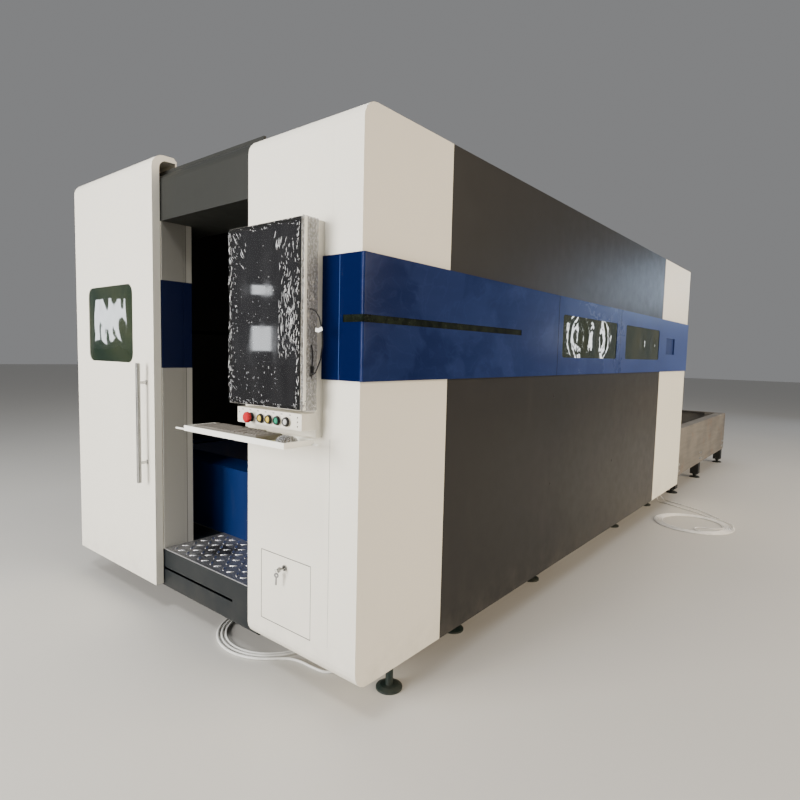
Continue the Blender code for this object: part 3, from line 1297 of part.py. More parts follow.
def main():
    for leftover in list(bpy.data.objects):
        bpy.data.objects.remove(leftover)
    finishes = {
        "white": material("warm white powder coat", (0.78, 0.76, 0.70), 0.0, 0.45),
        "grey": material("dark grey powder coat", (0.075, 0.072, 0.068), 0.0, 0.5),
        "light_grey": material("grey header", (0.10, 0.10, 0.098), 0.0, 0.5),
        "riser_grey": material("blue-grey riser", (0.065, 0.072, 0.08), 0.0, 0.5),
        "blue": material("gloss blue", (0.012, 0.045, 0.21), 0.0, 0.25),
        "pane": material("dark green laser glass", (0.01, 0.035, 0.025), 0.0, 0.08),
        "tread": material("aluminium tread plate", (0.45, 0.45, 0.46), 1.0, 0.35),
        "steel": material("brushed steel", (0.62, 0.62, 0.61), 1.0, 0.3),
        "taupe": material("bare steel frame", (0.30, 0.275, 0.24), 0.3, 0.5),
        "screen": material("black glass", (0.01, 0.01, 0.011), 0.0, 0.08),
        "keyboard": material("keyboard", (0.20, 0.18, 0.165), 0.0, 0.6),
        "black": material("black plastic", (0.02, 0.02, 0.02), 0.0, 0.4),
        "red": material("red mushroom", (0.55, 0.02, 0.03), 0.0, 0.3),
        "yellow": material("yellow button", (0.75, 0.55, 0.08), 0.0, 0.35),
        "green": material("green button", (0.01, 0.35, 0.22), 0.0, 0.35),
        "clear": material("clear button", (0.7, 0.7, 0.68), 0.0, 0.2),
        "cord": material("white sheath", (0.72, 0.72, 0.70), 0.0, 0.4),
    }
    machine = empty("machine")
    build_right_corner(finishes, machine)
    build_left_corner(finishes, machine)
    for side, tag in ((1, "right"), (-1, "left")):
        build_side(side, tag, finishes, machine)
        build_band(side, tag, finishes, machine)
        build_panes(side, tag, finishes, machine)
    build_block(finishes, machine)
    build_left_front(finishes, machine)
    build_header(finishes, machine)
    build_step(finishes, machine)
    build_roof_and_rear(finishes, machine)
    build_door(finishes, machine)
    build_hatch(finishes, machine)
    build_console(finishes, machine)
    build_tray(finishes, machine)
    build_bed(finishes, machine)
    build_gantry(finishes, machine)
    build_pallet("pallet_upper", UPPER_LEDGE, PALLET_START, finishes, machine)
    build_pallet("pallet_lower", LOWER_LEDGE, PALLET_START + PALLET_TRAVEL, finishes, machine)
    build_exchange_frame(finishes, machine)
    build_cords(finishes, machine)


main()
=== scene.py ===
"""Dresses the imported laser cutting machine: finishes, window sheets, console film, keys, step and cords.

The machine stands on the floor with its front towards -Y and its pallet changer towards +Y. Places are
measured, as in the part's source, from the enclosure's right side, its front face and its lower edge.
"""

import logging
from dataclasses import dataclass, field
from enum import Enum
from math import copysign, cos, exp, hypot, pi, radians, sin
from random import Random
from typing import Callable

import bmesh
import bpy
from mathutils import Matrix, Vector, noise


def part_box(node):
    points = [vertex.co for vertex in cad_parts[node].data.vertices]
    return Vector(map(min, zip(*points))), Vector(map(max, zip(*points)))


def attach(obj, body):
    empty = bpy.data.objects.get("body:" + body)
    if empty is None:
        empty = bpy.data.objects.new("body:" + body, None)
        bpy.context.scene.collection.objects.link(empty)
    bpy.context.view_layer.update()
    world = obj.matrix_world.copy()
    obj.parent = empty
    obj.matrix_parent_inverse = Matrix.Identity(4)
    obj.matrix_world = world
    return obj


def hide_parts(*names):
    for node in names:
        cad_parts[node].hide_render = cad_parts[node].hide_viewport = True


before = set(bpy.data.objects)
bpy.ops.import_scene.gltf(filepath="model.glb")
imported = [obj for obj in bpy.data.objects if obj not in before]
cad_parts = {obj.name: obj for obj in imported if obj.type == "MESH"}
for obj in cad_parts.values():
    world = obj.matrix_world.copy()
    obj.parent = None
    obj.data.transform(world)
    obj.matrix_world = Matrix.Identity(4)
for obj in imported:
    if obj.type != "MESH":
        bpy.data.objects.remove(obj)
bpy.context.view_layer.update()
log = logging.getLogger("laser_cutter")

Colour = tuple[float, float, float]
Place = tuple[float, float, float]
Spot = Vector | Place
Pair = tuple[float, float]
Row = tuple[float, ...]
Size = tuple[float, float, float]
Spots = tuple[Pair, ...]
Profile = list[Pair]
Material = bpy.types.Material
Coats = dict[str, Material]


# Shader expressions


class Wire:
    """A node's output that turns Python arithmetic into Math nodes."""

    def __init__(self, graph: "Graph", socket: bpy.types.NodeSocket) -> None:
        """Keeps the graph and the socket."""
        self.graph = graph
        self.socket = socket

    def maths(self, operation: str, *values: "Wire | float") -> "Wire":
        """The result of a Math node with the values as its inputs, in order."""
        return self.graph.add("ShaderNodeMath", {"operation": operation}, dict(enumerate(values)))

    def __add__(self, other: "Wire | float") -> "Wire":
        """self + other."""
        return self.maths("ADD", self, other)

    def __radd__(self, other: float) -> "Wire":
        """other + self."""
        return self.maths("ADD", other, self)

    def __sub__(self, other: "Wire | float") -> "Wire":
        """self - other."""
        return self.maths("SUBTRACT", self, other)

    def __rsub__(self, other: float) -> "Wire":
        """other - self."""
        return self.maths("SUBTRACT", other, self)

    def __mul__(self, other: "Wire | float") -> "Wire":
        """self * other."""
        return self.maths("MULTIPLY", self, other)

    def __rmul__(self, other: float) -> "Wire":
        """other * self."""
        return self.maths("MULTIPLY", other, self)

    def __gt__(self, other: "Wire | float") -> "Wire":
        """1 where self is above other."""
        return self.maths("GREATER_THAN", self, other)

    def __lt__(self, other: "Wire | float") -> "Wire":
        """1 where self is below other."""
        return self.maths("LESS_THAN", self, other)

    def __abs__(self) -> "Wire":
        """The absolute value."""
        return self.maths("ABSOLUTE", self)

    def ramp(self, low: float, high: float) -> "Wire":
        """0 below low, 1 above high and a straight line between; high may be below low."""
        return self.graph.add(
            "ShaderNodeMapRange", {"clamp": True}, {0: self, 1: low, 2: high, 3: 0.0, 4: 1.0}
        )


class Graph:
    """A material's node tree, with one method that adds any node."""

    def __init__(self, name: str) -> None:
        """Starts a material with only its output and a Principled shader.

        Args:
            name: The material's name.
        """
        self.material = bpy.data.materials.new(name)
        self.material.use_nodes = True
        self.nodes = self.material.node_tree.nodes
        self.links = self.material.node_tree.links
        self.shader = self.nodes["Principled BSDF"]
        self.object_place = self.add("ShaderNodeTexCoord", output="Object")

    def add(
        self,
        kind: str,
        settings: dict[str, object] | None = None,
        inputs: dict[int | str, object] | None = None,
        output: int | str = 0,
    ) -> Wire:
        """Adds a node.

        Args:
            kind: The node's type.
            settings: Its settings; "stops" gives a colour ramp's stops.
            inputs: Values or wires for its sockets.
            output: The output to hand back.

        Returns:
            The chosen output.
        """
        node = self.nodes.new(kind)
        for key, value in (settings or {}).items():
            if key == "stops":
                ramp = node.color_ramp
                while len(ramp.elements) < len(value):
                    ramp.elements.new(1.0)
                for element, (where, colour) in zip(ramp.elements, value):
                    element.position, element.color = where, (*colour, 1.0)
            else:
                setattr(node, key, value)
        for key, value in (inputs or {}).items():
            self.feed(node.inputs[key], value)
        return Wire(self, node.outputs[output])

    def feed(self, socket: bpy.types.NodeSocket, value: object) -> None:
        """Links a wire to a socket, or sets the socket's value."""
        if isinstance(value, Wire):
            self.links.new(value.socket, socket)
        else:
            socket.default_value = value

    def axis(self, number: int) -> Wire:
        """Object coordinate 0, 1 or 2 of the surface point."""
        return self.add("ShaderNodeSeparateXYZ", inputs={0: self.object_place}, output=number)

    def stretched(self, scale: Place) -> Wire:
        """The object coordinates, each times its own factor."""
        return self.add("ShaderNodeVectorMath", {"operation": "MULTIPLY"}, {0: self.object_place, 1: scale})

    def noise(self, scale: float, detail: float = 3.0, place: Wire | None = None, rough: float = 0.5) -> Wire:
        """Cloud noise from 0 to 1.

        Args:
            scale: Its scale per metre.
            detail: Its octaves.
            place: Where it is read, or the object coordinates.
            rough: How strong its fine octaves are.

        Returns:
            The noise's value.
        """
        inputs = {"Vector": place or self.object_place, "Scale": scale, "Detail": detail, "Roughness": rough}
        return self.add("ShaderNodeTexNoise", inputs=inputs)

    def blend(self, share: Wire | float, first: object, second: object) -> Wire:
        """A mix of two colours, first at 0 and second at 1."""
        colours = [value if isinstance(value, Wire) else (*value, 1.0) for value in (first, second)]
        return self.add(
            "ShaderNodeMix", {"data_type": "RGBA"}, {0: share, 6: colours[0], 7: colours[1]}, output=2
        )

    def bump(self, height: Wire, distance: float, strength: float = 1.0, under: Wire | None = None) -> Wire:
        """A bumped normal.

        Args:
            height: The height from 0 to 1.
            distance: The height of 1, in metres.
            strength: The share that is applied.
            under: A normal that it adds to.

        Returns:
            The normal.
        """
        inputs = {"Height": height, "Distance": distance, "Strength": strength}
        if under is not None:
            inputs["Normal"] = under
        return self.add("ShaderNodeBump", inputs=inputs)

    def dress(self, **sockets: object) -> Material:
        """Sets the Principled shader's sockets and hands back the material.

        Args:
            sockets: Values or wires by socket name, with underscores for spaces.

        Returns:
            The material.
        """
        for key, value in sockets.items():
            wanted = (*value, 1.0) if isinstance(value, tuple) and len(value) == 3 else value
            self.feed(self.shader.inputs[key.replace("_", " ")], wanted)
        return self.material


# Finishes


def times(colour: Colour, factor: float) -> Colour:
    """A colour with each of its channels times a factor."""
    return tuple(factor * channel for channel in colour)


@dataclass(frozen=True)
class PowderCoat:
    """A baked powder coat: fine orange peel, faint clouding, and grime near the floor.

    Attributes:
        gloss: The strength of its reflections.
        grime: The strength of the grime, from 0 to 1.
        grime_top: Where it ends above the floor.
    """

    name: str
    colour: Colour
    rough: float = 0.42
    gloss: float = 0.35
    peel: float = 0.00005
    grime: float = 0.25
    grime_top: float = 0.42
    scuff: float = 0.12
    grime_colour: Colour = (0.16, 0.14, 0.11)

    def paint(self, g: Graph, coat: Wire) -> Wire:
        """The clouded coat, with whatever else is painted on it below the dirt."""
        return coat

    def make(self) -> Material:
        """The coat's material."""
        g = Graph(self.name)
        cloud = g.noise(1.7, 4.0)
        fine = g.noise(60.0, 4.0)
        shade = (cloud - 0.5) * 0.14 + (fine - 0.5) * 0.05
        light = tuple(min(1.0, channel) for channel in times(self.colour, 1.12))
        coat = self.paint(g, g.blend(shade + 0.5, times(self.colour, 0.86), light))
        low = g.axis(2).ramp(self.grime_top, 0.12)
        patches = g.noise(9.0, 6.0, rough=0.62).ramp(0.42, 0.72)
        dirt = low * low * patches * self.grime
        smears = g.noise(6.0, 5.0, g.stretched((1.0, 1.0, 0.22))).ramp(0.60, 0.80) * self.scuff * 0.35
        colour = g.blend(dirt + smears, coat, self.grime_colour)
        peel = g.noise(520.0, 2.0)
        waves = g.noise(7.0, 1.0)
        normal = g.bump(waves, 0.0022, 0.10, g.bump(peel, self.peel, 0.5))
        rough = self.rough + (g.noise(14.0, 5.0) - 0.5) * 0.16 + dirt * 0.3
        return g.dress(Base_Color=colour, Roughness=rough, Normal=normal, Specular_IOR_Level=self.gloss)


@dataclass(frozen=True)
class BandedCoat(PowderCoat):
    """A powder coat with another paint between two heights, such as a band or the feet below an edge."""

    band: Colour = (0.006, 0.028, 0.16)
    band_low: float = 1.29
    band_high: float = 1.737

    def paint(self, g: Graph, coat: Wire) -> Wire:
        """The coat with its band laid over it."""
        height = g.axis(2)
        return g.blend((height > self.band_low) * (height < self.band_high), coat, self.band)


@dataclass(frozen=True)
class JambCoat(BandedCoat):
    """A banded coat whose inner face, beyond face along X, is darkened with painted shade, most at the top
    and less behind fold, with a seam at fold along Y.
    """

    face: float = -0.27
    fold: float = -3.448
    painted_shade: Colour = (0.17, 0.165, 0.15)

    def paint(self, g: Graph, coat: Wire) -> Wire:
        """The face darkened with painted shade, and its seam, with the band laid over them."""
        # Painted shade on the inner face: darkest at the top, and lighter behind the seam.
        inner = g.axis(0) > self.face
        share = g.axis(2).ramp(0.2, 2.1) * 0.50 + 0.46
        coat = g.blend(inner * share * ((g.axis(1) < self.fold) * 0.25 + 0.75), coat, self.painted_shade)
        seam = (abs(g.axis(1) - self.fold) < 0.0016) * inner
        return super().paint(g, g.blend(seam * 0.8, coat, (0.03, 0.03, 0.028)))


@dataclass(frozen=True)
class PaintedLightCoat(PowderCoat):
    """A powder coat painted lighter along X, from far to near, as painted light where the part lies in shade.
    """

    pale: Colour = (0.0030, 0.0180, 0.095)
    near: float = -0.20
    far: float = 0.22

    def paint(self, g: Graph, coat: Wire) -> Wire:
        """The paint with its shaded side painted lighter, as painted light."""
        # Painted light: the lighter blue towards the left, where the door and jamb shade the beam.
        return g.blend(g.axis(0).ramp(self.far, self.near), coat, self.pale)


@dataclass(frozen=True)
class PaleLowRearCoat(PowderCoat):
    """A powder coat that turns paler low down, more and more towards the rear along Y."""

    pale_from: float = -1.9
    pale_full: float = 1.6
    # The paler tone that the coat turns to.
    dust: Colour = (0.105, 0.098, 0.082)

    def paint(self, g: Graph, coat: Wire) -> Wire:
        """The coat turning paler low down and towards the rear, with upright streaks."""
        share = g.axis(1).ramp(self.pale_from, self.pale_full) * g.axis(2).ramp(1.45, 1.10)
        streaks = g.noise(6.0, 4.0, g.stretched((1.0, 1.0, 0.2))).ramp(0.25, 0.75)
        return g.blend(share * (streaks * 0.2 + 0.50), coat, self.dust)


@dataclass(frozen=True)
class SeamedCoat(PowderCoat):
    """A powder coat on folded sheets with fine upright seams, which gape a little here and there.

    Attributes:
        seams: Each seam's place, and the heights between which it shows dark.
        across: The axis of the places, 0 for X and 1 for Y.
        width: The seam's width.
    """

    seams: tuple[Size, ...] = ()
    across: int = 0
    width: float = 0.0030

    def paint(self, g: Graph, coat: Wire) -> Wire:
        """The coat with a painted highlight along one edge of each seam, and a dark gap along the seam."""
        place, height = g.axis(self.across), g.axis(2)
        gape = g.noise(4.5, 1.0, g.stretched((0.0, 0.0, 1.0))).ramp(0.42, 0.56)
        for where, low, high in self.seams:
            # Painted highlight: a lighter strip beside each seam's gap.
            light = abs(place - (where + 0.8 * self.width)) < 0.4 * self.width
            coat = g.blend(light * 0.35, coat, (0.93, 0.91, 0.86))
            dark = (abs(place - where) < self.width / 2) * (height > low) * (height < high)
            coat = g.blend(dark * (gape * 0.6 + 0.4), coat, (0.030, 0.028, 0.025))
        return coat


@dataclass(frozen=True)
class GlossBand:
    """The blue gloss band: wipe marks in broad arcs, dust specks and dark joint lines across it, a lighter
    line along its front's seam, and a painted sheen that lightens its side towards the rear.

    Attributes:
        joints: Where its sheets meet along Y.
        fold: The distance from the middle where front turns to side.
        front_seam: The distance from the middle of its front's seam.
    """

    name: str
    colour: Colour
    haze: Colour
    joints: Row
    fold: float = 1.176
    joint_width: float = 0.0060
    front_seam: float = 1.070

    def make(self) -> Material:
        """The band's material."""
        g = Graph(self.name)
        swirl = g.noise(2.2, 3.0)
        warped = g.add(
            "ShaderNodeVectorMath", {"operation": "ADD"}, {0: g.stretched((3.0, 3.0, 3.6)), 1: swirl * 1.6}
        )
        wipes = g.noise(1.2, 3.0, warped, 0.50).ramp(0.45, 0.53)
        arcs = abs(g.noise(2.6, 2.0, warped) - 0.5).ramp(0.030, 0.0)
        strokes = g.noise(3.2, 4.0, g.stretched((1.0, 1.0, 6.0))).ramp(0.40, 0.75)
        dust = g.noise(210.0, 3.0).ramp(0.58, 0.80) * 0.20
        # Painted sheen: the haze shows on the side, hardly on the front, and grows towards the rear; the
        # wipes, arcs, strokes and dust specks are marks on the gloss.
        side = abs(g.axis(0)).ramp(self.fold - 0.006, self.fold + 0.004)
        along = g.axis(1).ramp(-3.5, 0.9)
        film = wipes * 0.09 + arcs * 0.05 + strokes * 0.05 + dust * 0.4 + along * 0.78 + 0.12
        film = film * (side * 0.97 + 0.03)
        colour = g.blend(film * 0.80, self.colour, self.haze)
        for joint in self.joints:
            line = abs(g.axis(1) - joint) < self.joint_width / 2
            colour = g.blend(line, colour, (0.004, 0.008, 0.03))
        seam = (abs(abs(g.axis(0)) - self.front_seam) < 0.0014) * (g.axis(1) < DATUM.front + 0.1)
        colour = g.blend(seam * 0.6, colour, (0.05, 0.10, 0.26))
        rough = 0.13 + film * 0.24
        peel = g.bump(g.noise(420.0, 2.0), 0.00003, 0.35)
        normal = g.bump(g.noise(3.4, 2.0), 0.006, 0.10, peel)
        return g.dress(Base_Color=colour, Roughness=rough, Normal=normal, Specular_IOR_Level=0.07)


@dataclass(frozen=True)
class LaserSheet:
    """Dark green sheet that blocks the laser light, with faint streaks and dust."""

    name: str
    colour: Colour = (0.006, 0.016, 0.010)
    light: Colour = (0.040, 0.046, 0.022)
    rough: float = 0.04
    mottle: float = 5.0
    gloss: float = 0.5

    def make(self) -> Material:
        """The sheet's material."""
        g = Graph(self.name)
        streaks = g.noise(7.0, 4.0, g.stretched((1.0, 1.0, 0.15))).ramp(0.35, 0.75)
        cloud = g.noise(self.mottle, 3.0).ramp(0.35, 0.7)
        dust = g.noise(160.0, 3.0).ramp(0.62, 0.85)
        colour = g.blend(streaks * 0.5 + cloud * 0.4, self.colour, self.light)
        colour = g.blend(dust * 0.10, colour, (0.30, 0.31, 0.27))
        rough = self.rough + dust * 0.3
        normal = g.bump(g.noise(9.0, 2.0), 0.004, 0.16)
        return g.dress(
            Base_Color=colour, Roughness=rough, Normal=normal, IOR=1.52, Specular_IOR_Level=self.gloss
        )


@dataclass(frozen=True)
class TreadMetal:
    """Bright rolled plate, scuffed all over and dirty round the smudge."""

    name: str
    colour: Colour = (0.50, 0.51, 0.54)
    smudge: Place = (-0.02, -3.40, 0.34)

    def make(self) -> Material:
        """The plate's material."""
        g = Graph(self.name)
        streaks = g.noise(30.0, 5.0, g.stretched((1.0, 5.0, 1.0)))
        spot = g.add(
            "ShaderNodeVectorMath", {"operation": "DISTANCE"}, {0: g.object_place, 1: self.smudge}, output=1
        )
        worn = (spot + (g.noise(14.0, 5.0) - 0.5) * 0.20).ramp(0.15, 0.05)
        dirt = g.noise(90.0, 5.0, rough=0.65).ramp(0.48, 0.60) * 0.35
        sand = g.axis(0).ramp(0.02, -0.24) * g.noise(120.0, 4.0).ramp(0.35, 0.65)
        colour = g.blend(streaks, times(self.colour, 0.72), self.colour)
        colour = g.blend(sand * 0.8, colour, (0.42, 0.40, 0.36))
        colour = g.blend(dirt + worn * 0.85, colour, (0.030, 0.029, 0.031))
        rough = 0.30 + streaks * 0.14 + dirt * 0.3 + worn * 0.25 + sand * 0.25
        normal = g.bump(g.noise(180.0, 4.0), 0.0003, 0.4)
        return g.dress(Base_Color=colour, Metallic=0.92, Roughness=rough, Normal=normal)


@dataclass(frozen=True)
class BrushedMetal:
    """Bare metal with fine brush lines along one axis."""

    name: str
    colour: Colour = (0.62, 0.62, 0.60)
    rough: float = 0.28
    lines: Place = (300.0, 300.0, 6.0)

    def make(self) -> Material:
        """The metal's material."""
        g = Graph(self.name)
        lines = g.noise(1.0, 3.0, g.stretched(self.lines))
        cloud = g.noise(12.0, 3.0)
        colour = g.blend(lines * 0.6 + cloud * 0.4, times(self.colour, 0.72), self.colour)
        rough = self.rough + (lines - 0.5) * 0.22
        return g.dress(Base_Color=colour, Metallic=1.0, Roughness=rough, Normal=g.bump(lines, 0.0001, 0.5))


@dataclass(frozen=True)
class Primer:
    """Taupe primer on welded frames, with brushed patches, rubbed marks, rust and a dark foot."""

    name: str
    colour: Colour = (0.235, 0.215, 0.185)
    dark_below: float = -1.0
    foot: Colour = (0.013, 0.014, 0.013)
    rust: Colour = (0.20, 0.105, 0.055)

    def make(self) -> Material:
        """The primer's material."""
        g = Graph(self.name)
        patches = g.noise(3.0, 5.0).ramp(0.30, 0.72)
        strokes = g.noise(10.0, 4.0, g.stretched((1.0, 0.2, 3.0))).ramp(0.35, 0.70)
        rubbed = g.noise(26.0, 6.0, rough=0.66).ramp(0.60, 0.76)
        colour = g.blend(patches * 0.7 + strokes * 0.3, times(self.colour, 0.48), self.colour)
        colour = g.blend(rubbed * 0.35, colour, (0.42, 0.39, 0.34))
        rusty = g.noise(5.0, 6.0, rough=0.7).ramp(0.56, 0.70) * 0.45
        colour = g.blend(g.axis(2) < self.dark_below, g.blend(rusty, colour, self.rust), self.foot)
        normal = g.bump(g.noise(90.0, 4.0), 0.0006, 0.35)
        return g.dress(Base_Color=colour, Roughness=0.52 + patches * 0.16, Normal=normal)


@dataclass(frozen=True)
class Moulding:
    """Moulded plastic with a fine grain and dust specks."""

    name: str
    colour: Colour
    rough: float = 0.38
    grain: float = 0.00006
    dust: float = 0.15
    gloss: float = 0.5

    def make(self) -> Material:
        """The plastic's material."""
        g = Graph(self.name)
        cloud = g.noise(38.0, 3.0)
        specks = g.noise(230.0, 3.0).ramp(0.58, 0.80)
        colour = g.blend(cloud, times(self.colour, 0.86), self.colour)
        colour = g.blend(specks * self.dust, colour, (0.5, 0.48, 0.44))
        normal = g.bump(g.noise(900.0, 2.0), self.grain, 0.6)
        rough = self.rough + (cloud - 0.5) * 0.14
        return g.dress(Base_Color=colour, Roughness=rough, Normal=normal, Specular_IOR_Level=self.gloss)


@dataclass(frozen=True)
class ScreenGlass:
    """The monitor's black glass, with faint smears."""

    name: str
    colour: Colour = (0.006, 0.006, 0.007)

    def make(self) -> Material:
        """The glass's material."""
        g = Graph(self.name)
        smears = g.noise(8.0, 5.0, g.stretched((2.0, 1.0, 0.6))).ramp(0.45, 0.75)
        colour = g.blend(smears * 0.25, self.colour, (0.03, 0.03, 0.032))
        return g.dress(Base_Color=colour, Roughness=0.03 + smears * 0.06)


@dataclass(frozen=True)
class ClearFilm:
    """Thin clear wrapping film whose white tint shows along its creases as painted highlights.

    Attributes:
        gathered: The X beyond which it is gathered and silvery, its light and dark crumple a painted sheen.
        thick: How much of the gathered film shows.
    """

    name: str
    gathered: float
    haze: float = 0.008
    thick: float = 0.62
    tint: Colour = (0.92, 0.94, 0.97)

    def make(self) -> Material:
        """The film's material."""
        g = Graph(self.name)
        # Painted highlights: the white tint shows along the creases; beyond gathered, the light and dark
        # crumple is a painted sheen on the crumpled film.
        crease = abs(g.noise(15.0, 4.0, g.stretched((1.3, 1.0, 0.7))) - 0.5).ramp(0.012, 0.0)
        fine = abs(g.noise(52.0, 3.0) - 0.5).ramp(0.02, 0.0)
        body = g.noise(11.0, 3.0)
        layers = g.axis(0) > self.gathered
        crumple = g.noise(150.0, 5.0, g.stretched((1.0, 1.0, 0.6)), 0.7).ramp(0.38, 0.62)
        shown = self.haze * (0.35 + body) + (crease + fine * 0.8) * self.haze + layers * self.thick
        colour = g.blend(layers * (1.0 - crumple * 0.75), self.tint, (0.10, 0.10, 0.098))
        normal = g.bump(g.noise(60.0, 3.0), 0.002, 0.3, g.bump(body, 0.012, 0.5))
        return g.dress(Base_Color=colour, Roughness=0.10 + fine * 0.2, Alpha=shown, Normal=normal, IOR=1.49)


@dataclass(frozen=True)
class Sheath:
    """A cord's extruded sheath with dust on it."""

    name: str
    colour: Colour = (0.70, 0.70, 0.67)
    rough: float = 0.42

    def make(self) -> Material:
        """The sheath's material."""
        g = Graph(self.name)
        dust = g.noise(26.0, 5.0, rough=0.6).ramp(0.42, 0.74)
        fine = g.noise(300.0, 2.0)
        colour = g.blend(dust * 0.4, self.colour, times(self.colour, 0.62))
        normal = g.bump(fine, 0.00012, 0.5)
        return g.dress(Base_Color=colour, Roughness=self.rough + dust * 0.2, Normal=normal)


@dataclass(frozen=True)
class ConcreteFloor:
    """The plain pale floor under the machine."""

    name: str = "pale_floor"
    colour: Colour = (0.60, 0.585, 0.55)

    def make(self) -> Material:
        """The floor's material."""
        g = Graph(self.name)
        cloud = g.noise(0.8, 5.0)
        colour = g.blend(cloud, times(self.colour, 0.94), self.colour)
        return g.dress(Base_Color=colour, Roughness=0.55 + (cloud - 0.5) * 0.2)


# Mesh making


@dataclass(frozen=True)
class Datum:
    """The enclosure's right side, front face and lower edge, read from the imported parts."""

    right: float
    front: float
    base: float

    def at(self, from_right: float, from_front: float, from_base: float) -> Vector:
        """A place measured leftwards, rearwards and upwards from the datum."""
        return Vector((self.right - from_right, self.front + from_front, self.base + from_base))


SIDE_LOW, SIDE_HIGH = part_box("side_right_mid_2")
DATUM = Datum(SIDE_HIGH.x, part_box("block_cover")[0].y, SIDE_LOW.z)
# From the front face: where side panels, band sheets and roof sheets meet, and the exchange frame's legs.
SEAMS = (1.605, 2.665)
TABLE_LEGS = (4.940, 6.000, 7.360)


class Facing(Enum):
    """Directions that a piece's face may point."""

    FRONT = (0.0, -1.0, 0.0)
    RIGHT = (1.0, 0.0, 0.0)
    LEFT = (-1.0, 0.0, 0.0)
    UP = (0.0, 0.0, 1.0)
    REAR = (0.0, 1.0, 0.0)


class Shape:
    """A bmesh in the making.

    Attributes:
        largest_smooth: The area in square metres above which a face stays flat, so that the rounding of
            its edges doesn't bend what it mirrors.
    """

    largest_smooth: float = 0.0004

    def __init__(self) -> None:
        """Starts empty."""
        self.mesh = bmesh.new()

    def block(self, low: Spot, high: Spot, edge: float = 0.0, segments: int = 2) -> "Shape":
        """Adds a box with rounded edges.

        Args:
            low: Its lowest corner.
            high: Its highest corner.
            edge: The radius of its edges.
            segments: The facets of that radius.

        Returns:
            This shape.
        """
        low, high = Vector(low), Vector(high)
        made = bmesh.ops.create_cube(self.mesh, size=1.0)["verts"]
        bmesh.ops.scale(self.mesh, vec=high - low, verts=made)
        bmesh.ops.translate(self.mesh, vec=(high + low) / 2, verts=made)
        if edge > 0:
            edges = list({e for v in made for e in v.link_edges})
            bmesh.ops.bevel(
                self.mesh, geom=edges, offset=edge, offset_type="OFFSET", segments=segments, profile=0.5,
                affect="EDGES", material=-1,
            )
        return self

    def surround(self, hole: Row, widths: Row, front: float, back: float) -> "Shape":
        """Adds four strips round an upright hole, of which the side ones take the corners.

        Args:
            hole: Its least X and Z, then its greatest.
            widths: The widths at the left, right, foot and head.
            front: Their least Y.
            back: Their greatest Y.

        Returns:
            This shape.
        """
        x0, z0, x1, z1 = hole
        left, right, foot, head = widths
        self.block((x0 - left, front, z0 - foot), (x0, back, z1 + head))
        self.block((x1, front, z0 - foot), (x1 + right, back, z1 + head))
        self.block((x0, front, z0 - foot), (x1, back, z0))
        return self.block((x0, front, z1), (x1, back, z1 + head))

    def turned(self, profile: Profile, place: Spot, axis: Place, steps: int = 24) -> "Shape":
        """Adds a solid of revolution.

        Args:
            profile: Pairs of distance along the axis and radius.
            place: The axis's start.
            axis: Its direction.
            steps: The facets round it.

        Returns:
            This shape.
        """
        spot, direction = Vector(place), Vector(axis)
        side = direction.orthogonal().normalized()
        points = [self.mesh.verts.new(spot + direction * along + side * radius) for along, radius in profile]
        edges = [self.mesh.edges.new(pair) for pair in zip(points, points[1:])]
        bmesh.ops.spin(
            self.mesh, geom=points + edges, cent=spot, axis=direction, angle=2 * pi, steps=steps,
            use_merge=True,
        )
        bmesh.ops.remove_doubles(self.mesh, verts=self.mesh.verts, dist=1e-6)
        bmesh.ops.recalc_face_normals(self.mesh, faces=self.mesh.faces)
        return self

    def rod(self, here: Vector, there: Vector, radius: float, past: float, steps: int) -> "Shape":
        """Adds a round rod.

        Args:
            here: One end.
            there: The other end.
            radius: Its radius.
            past: How far it runs on past each end.
            steps: The facets round it.

        Returns:
            This shape.
        """
        way = there - here
        profile = [(-past, 0), (-past, radius), (way.length + past, radius), (way.length + past, 0)]
        return self.turned(profile, here, way.normalized(), steps)

    def add(self, other: "Shape", place: Matrix) -> "Shape":
        """Adds another shape and uses it up.

        Args:
            other: The other shape.
            place: The matrix that moves it.

        Returns:
            This shape.
        """
        other.mesh.transform(place)
        passing = bpy.data.meshes.new("passing")
        other.mesh.to_mesh(passing)
        other.mesh.free()
        self.mesh.from_mesh(passing)
        bpy.data.meshes.remove(passing)
        return self

    def grid(self, columns: int, rows: int, shape: Callable[[float, float], Vector]) -> "Shape":
        """Adds an open sheet.

        Args:
            columns: Its cells across.
            rows: Its cells up.
            shape: A function from (across, up), each 0 to 1, to a place.

        Returns:
            This shape.
        """
        made = bmesh.ops.create_grid(self.mesh, x_segments=columns, y_segments=rows, size=0.5)["verts"]
        for vert in made:
            vert.co = shape(vert.co.x + 0.5, vert.co.y + 0.5)
        return self

    def finish(
        self,
        name: str,
        material: Material,
        slot: str,
        body: str = "machine",
        replaces: tuple[str, ...] = (),
        sharp: float = 32.0,
        thick: float = 0.0,
    ) -> bpy.types.Object:
        """Makes the piece.

        Args:
            name: Its name.
            material: Its material.
            slot: The record's material slot; not used.
            body: The body that it rides on.
            replaces: CAD nodes that it stands for.
            sharp: Edges above this angle in degrees stay sharp.
            thick: The wall given to an open sheet.

        Returns:
            The piece.
        """
        data = bpy.data.meshes.new(name)
        self.mesh.to_mesh(data)
        self.mesh.free()
        data.set_sharp_from_angle(angle=radians(sharp))
        data.polygons.foreach_set("use_smooth", [face.area < self.largest_smooth for face in data.polygons])
        data.materials.append(material)
        piece = bpy.data.objects.new(name, data)
        bpy.context.scene.collection.objects.link(piece)
        if thick:
            wall = piece.modifiers.new("wall", "SOLIDIFY")
            wall.thickness, wall.offset = thick, 0.0
        return settle(piece, body, replaces)


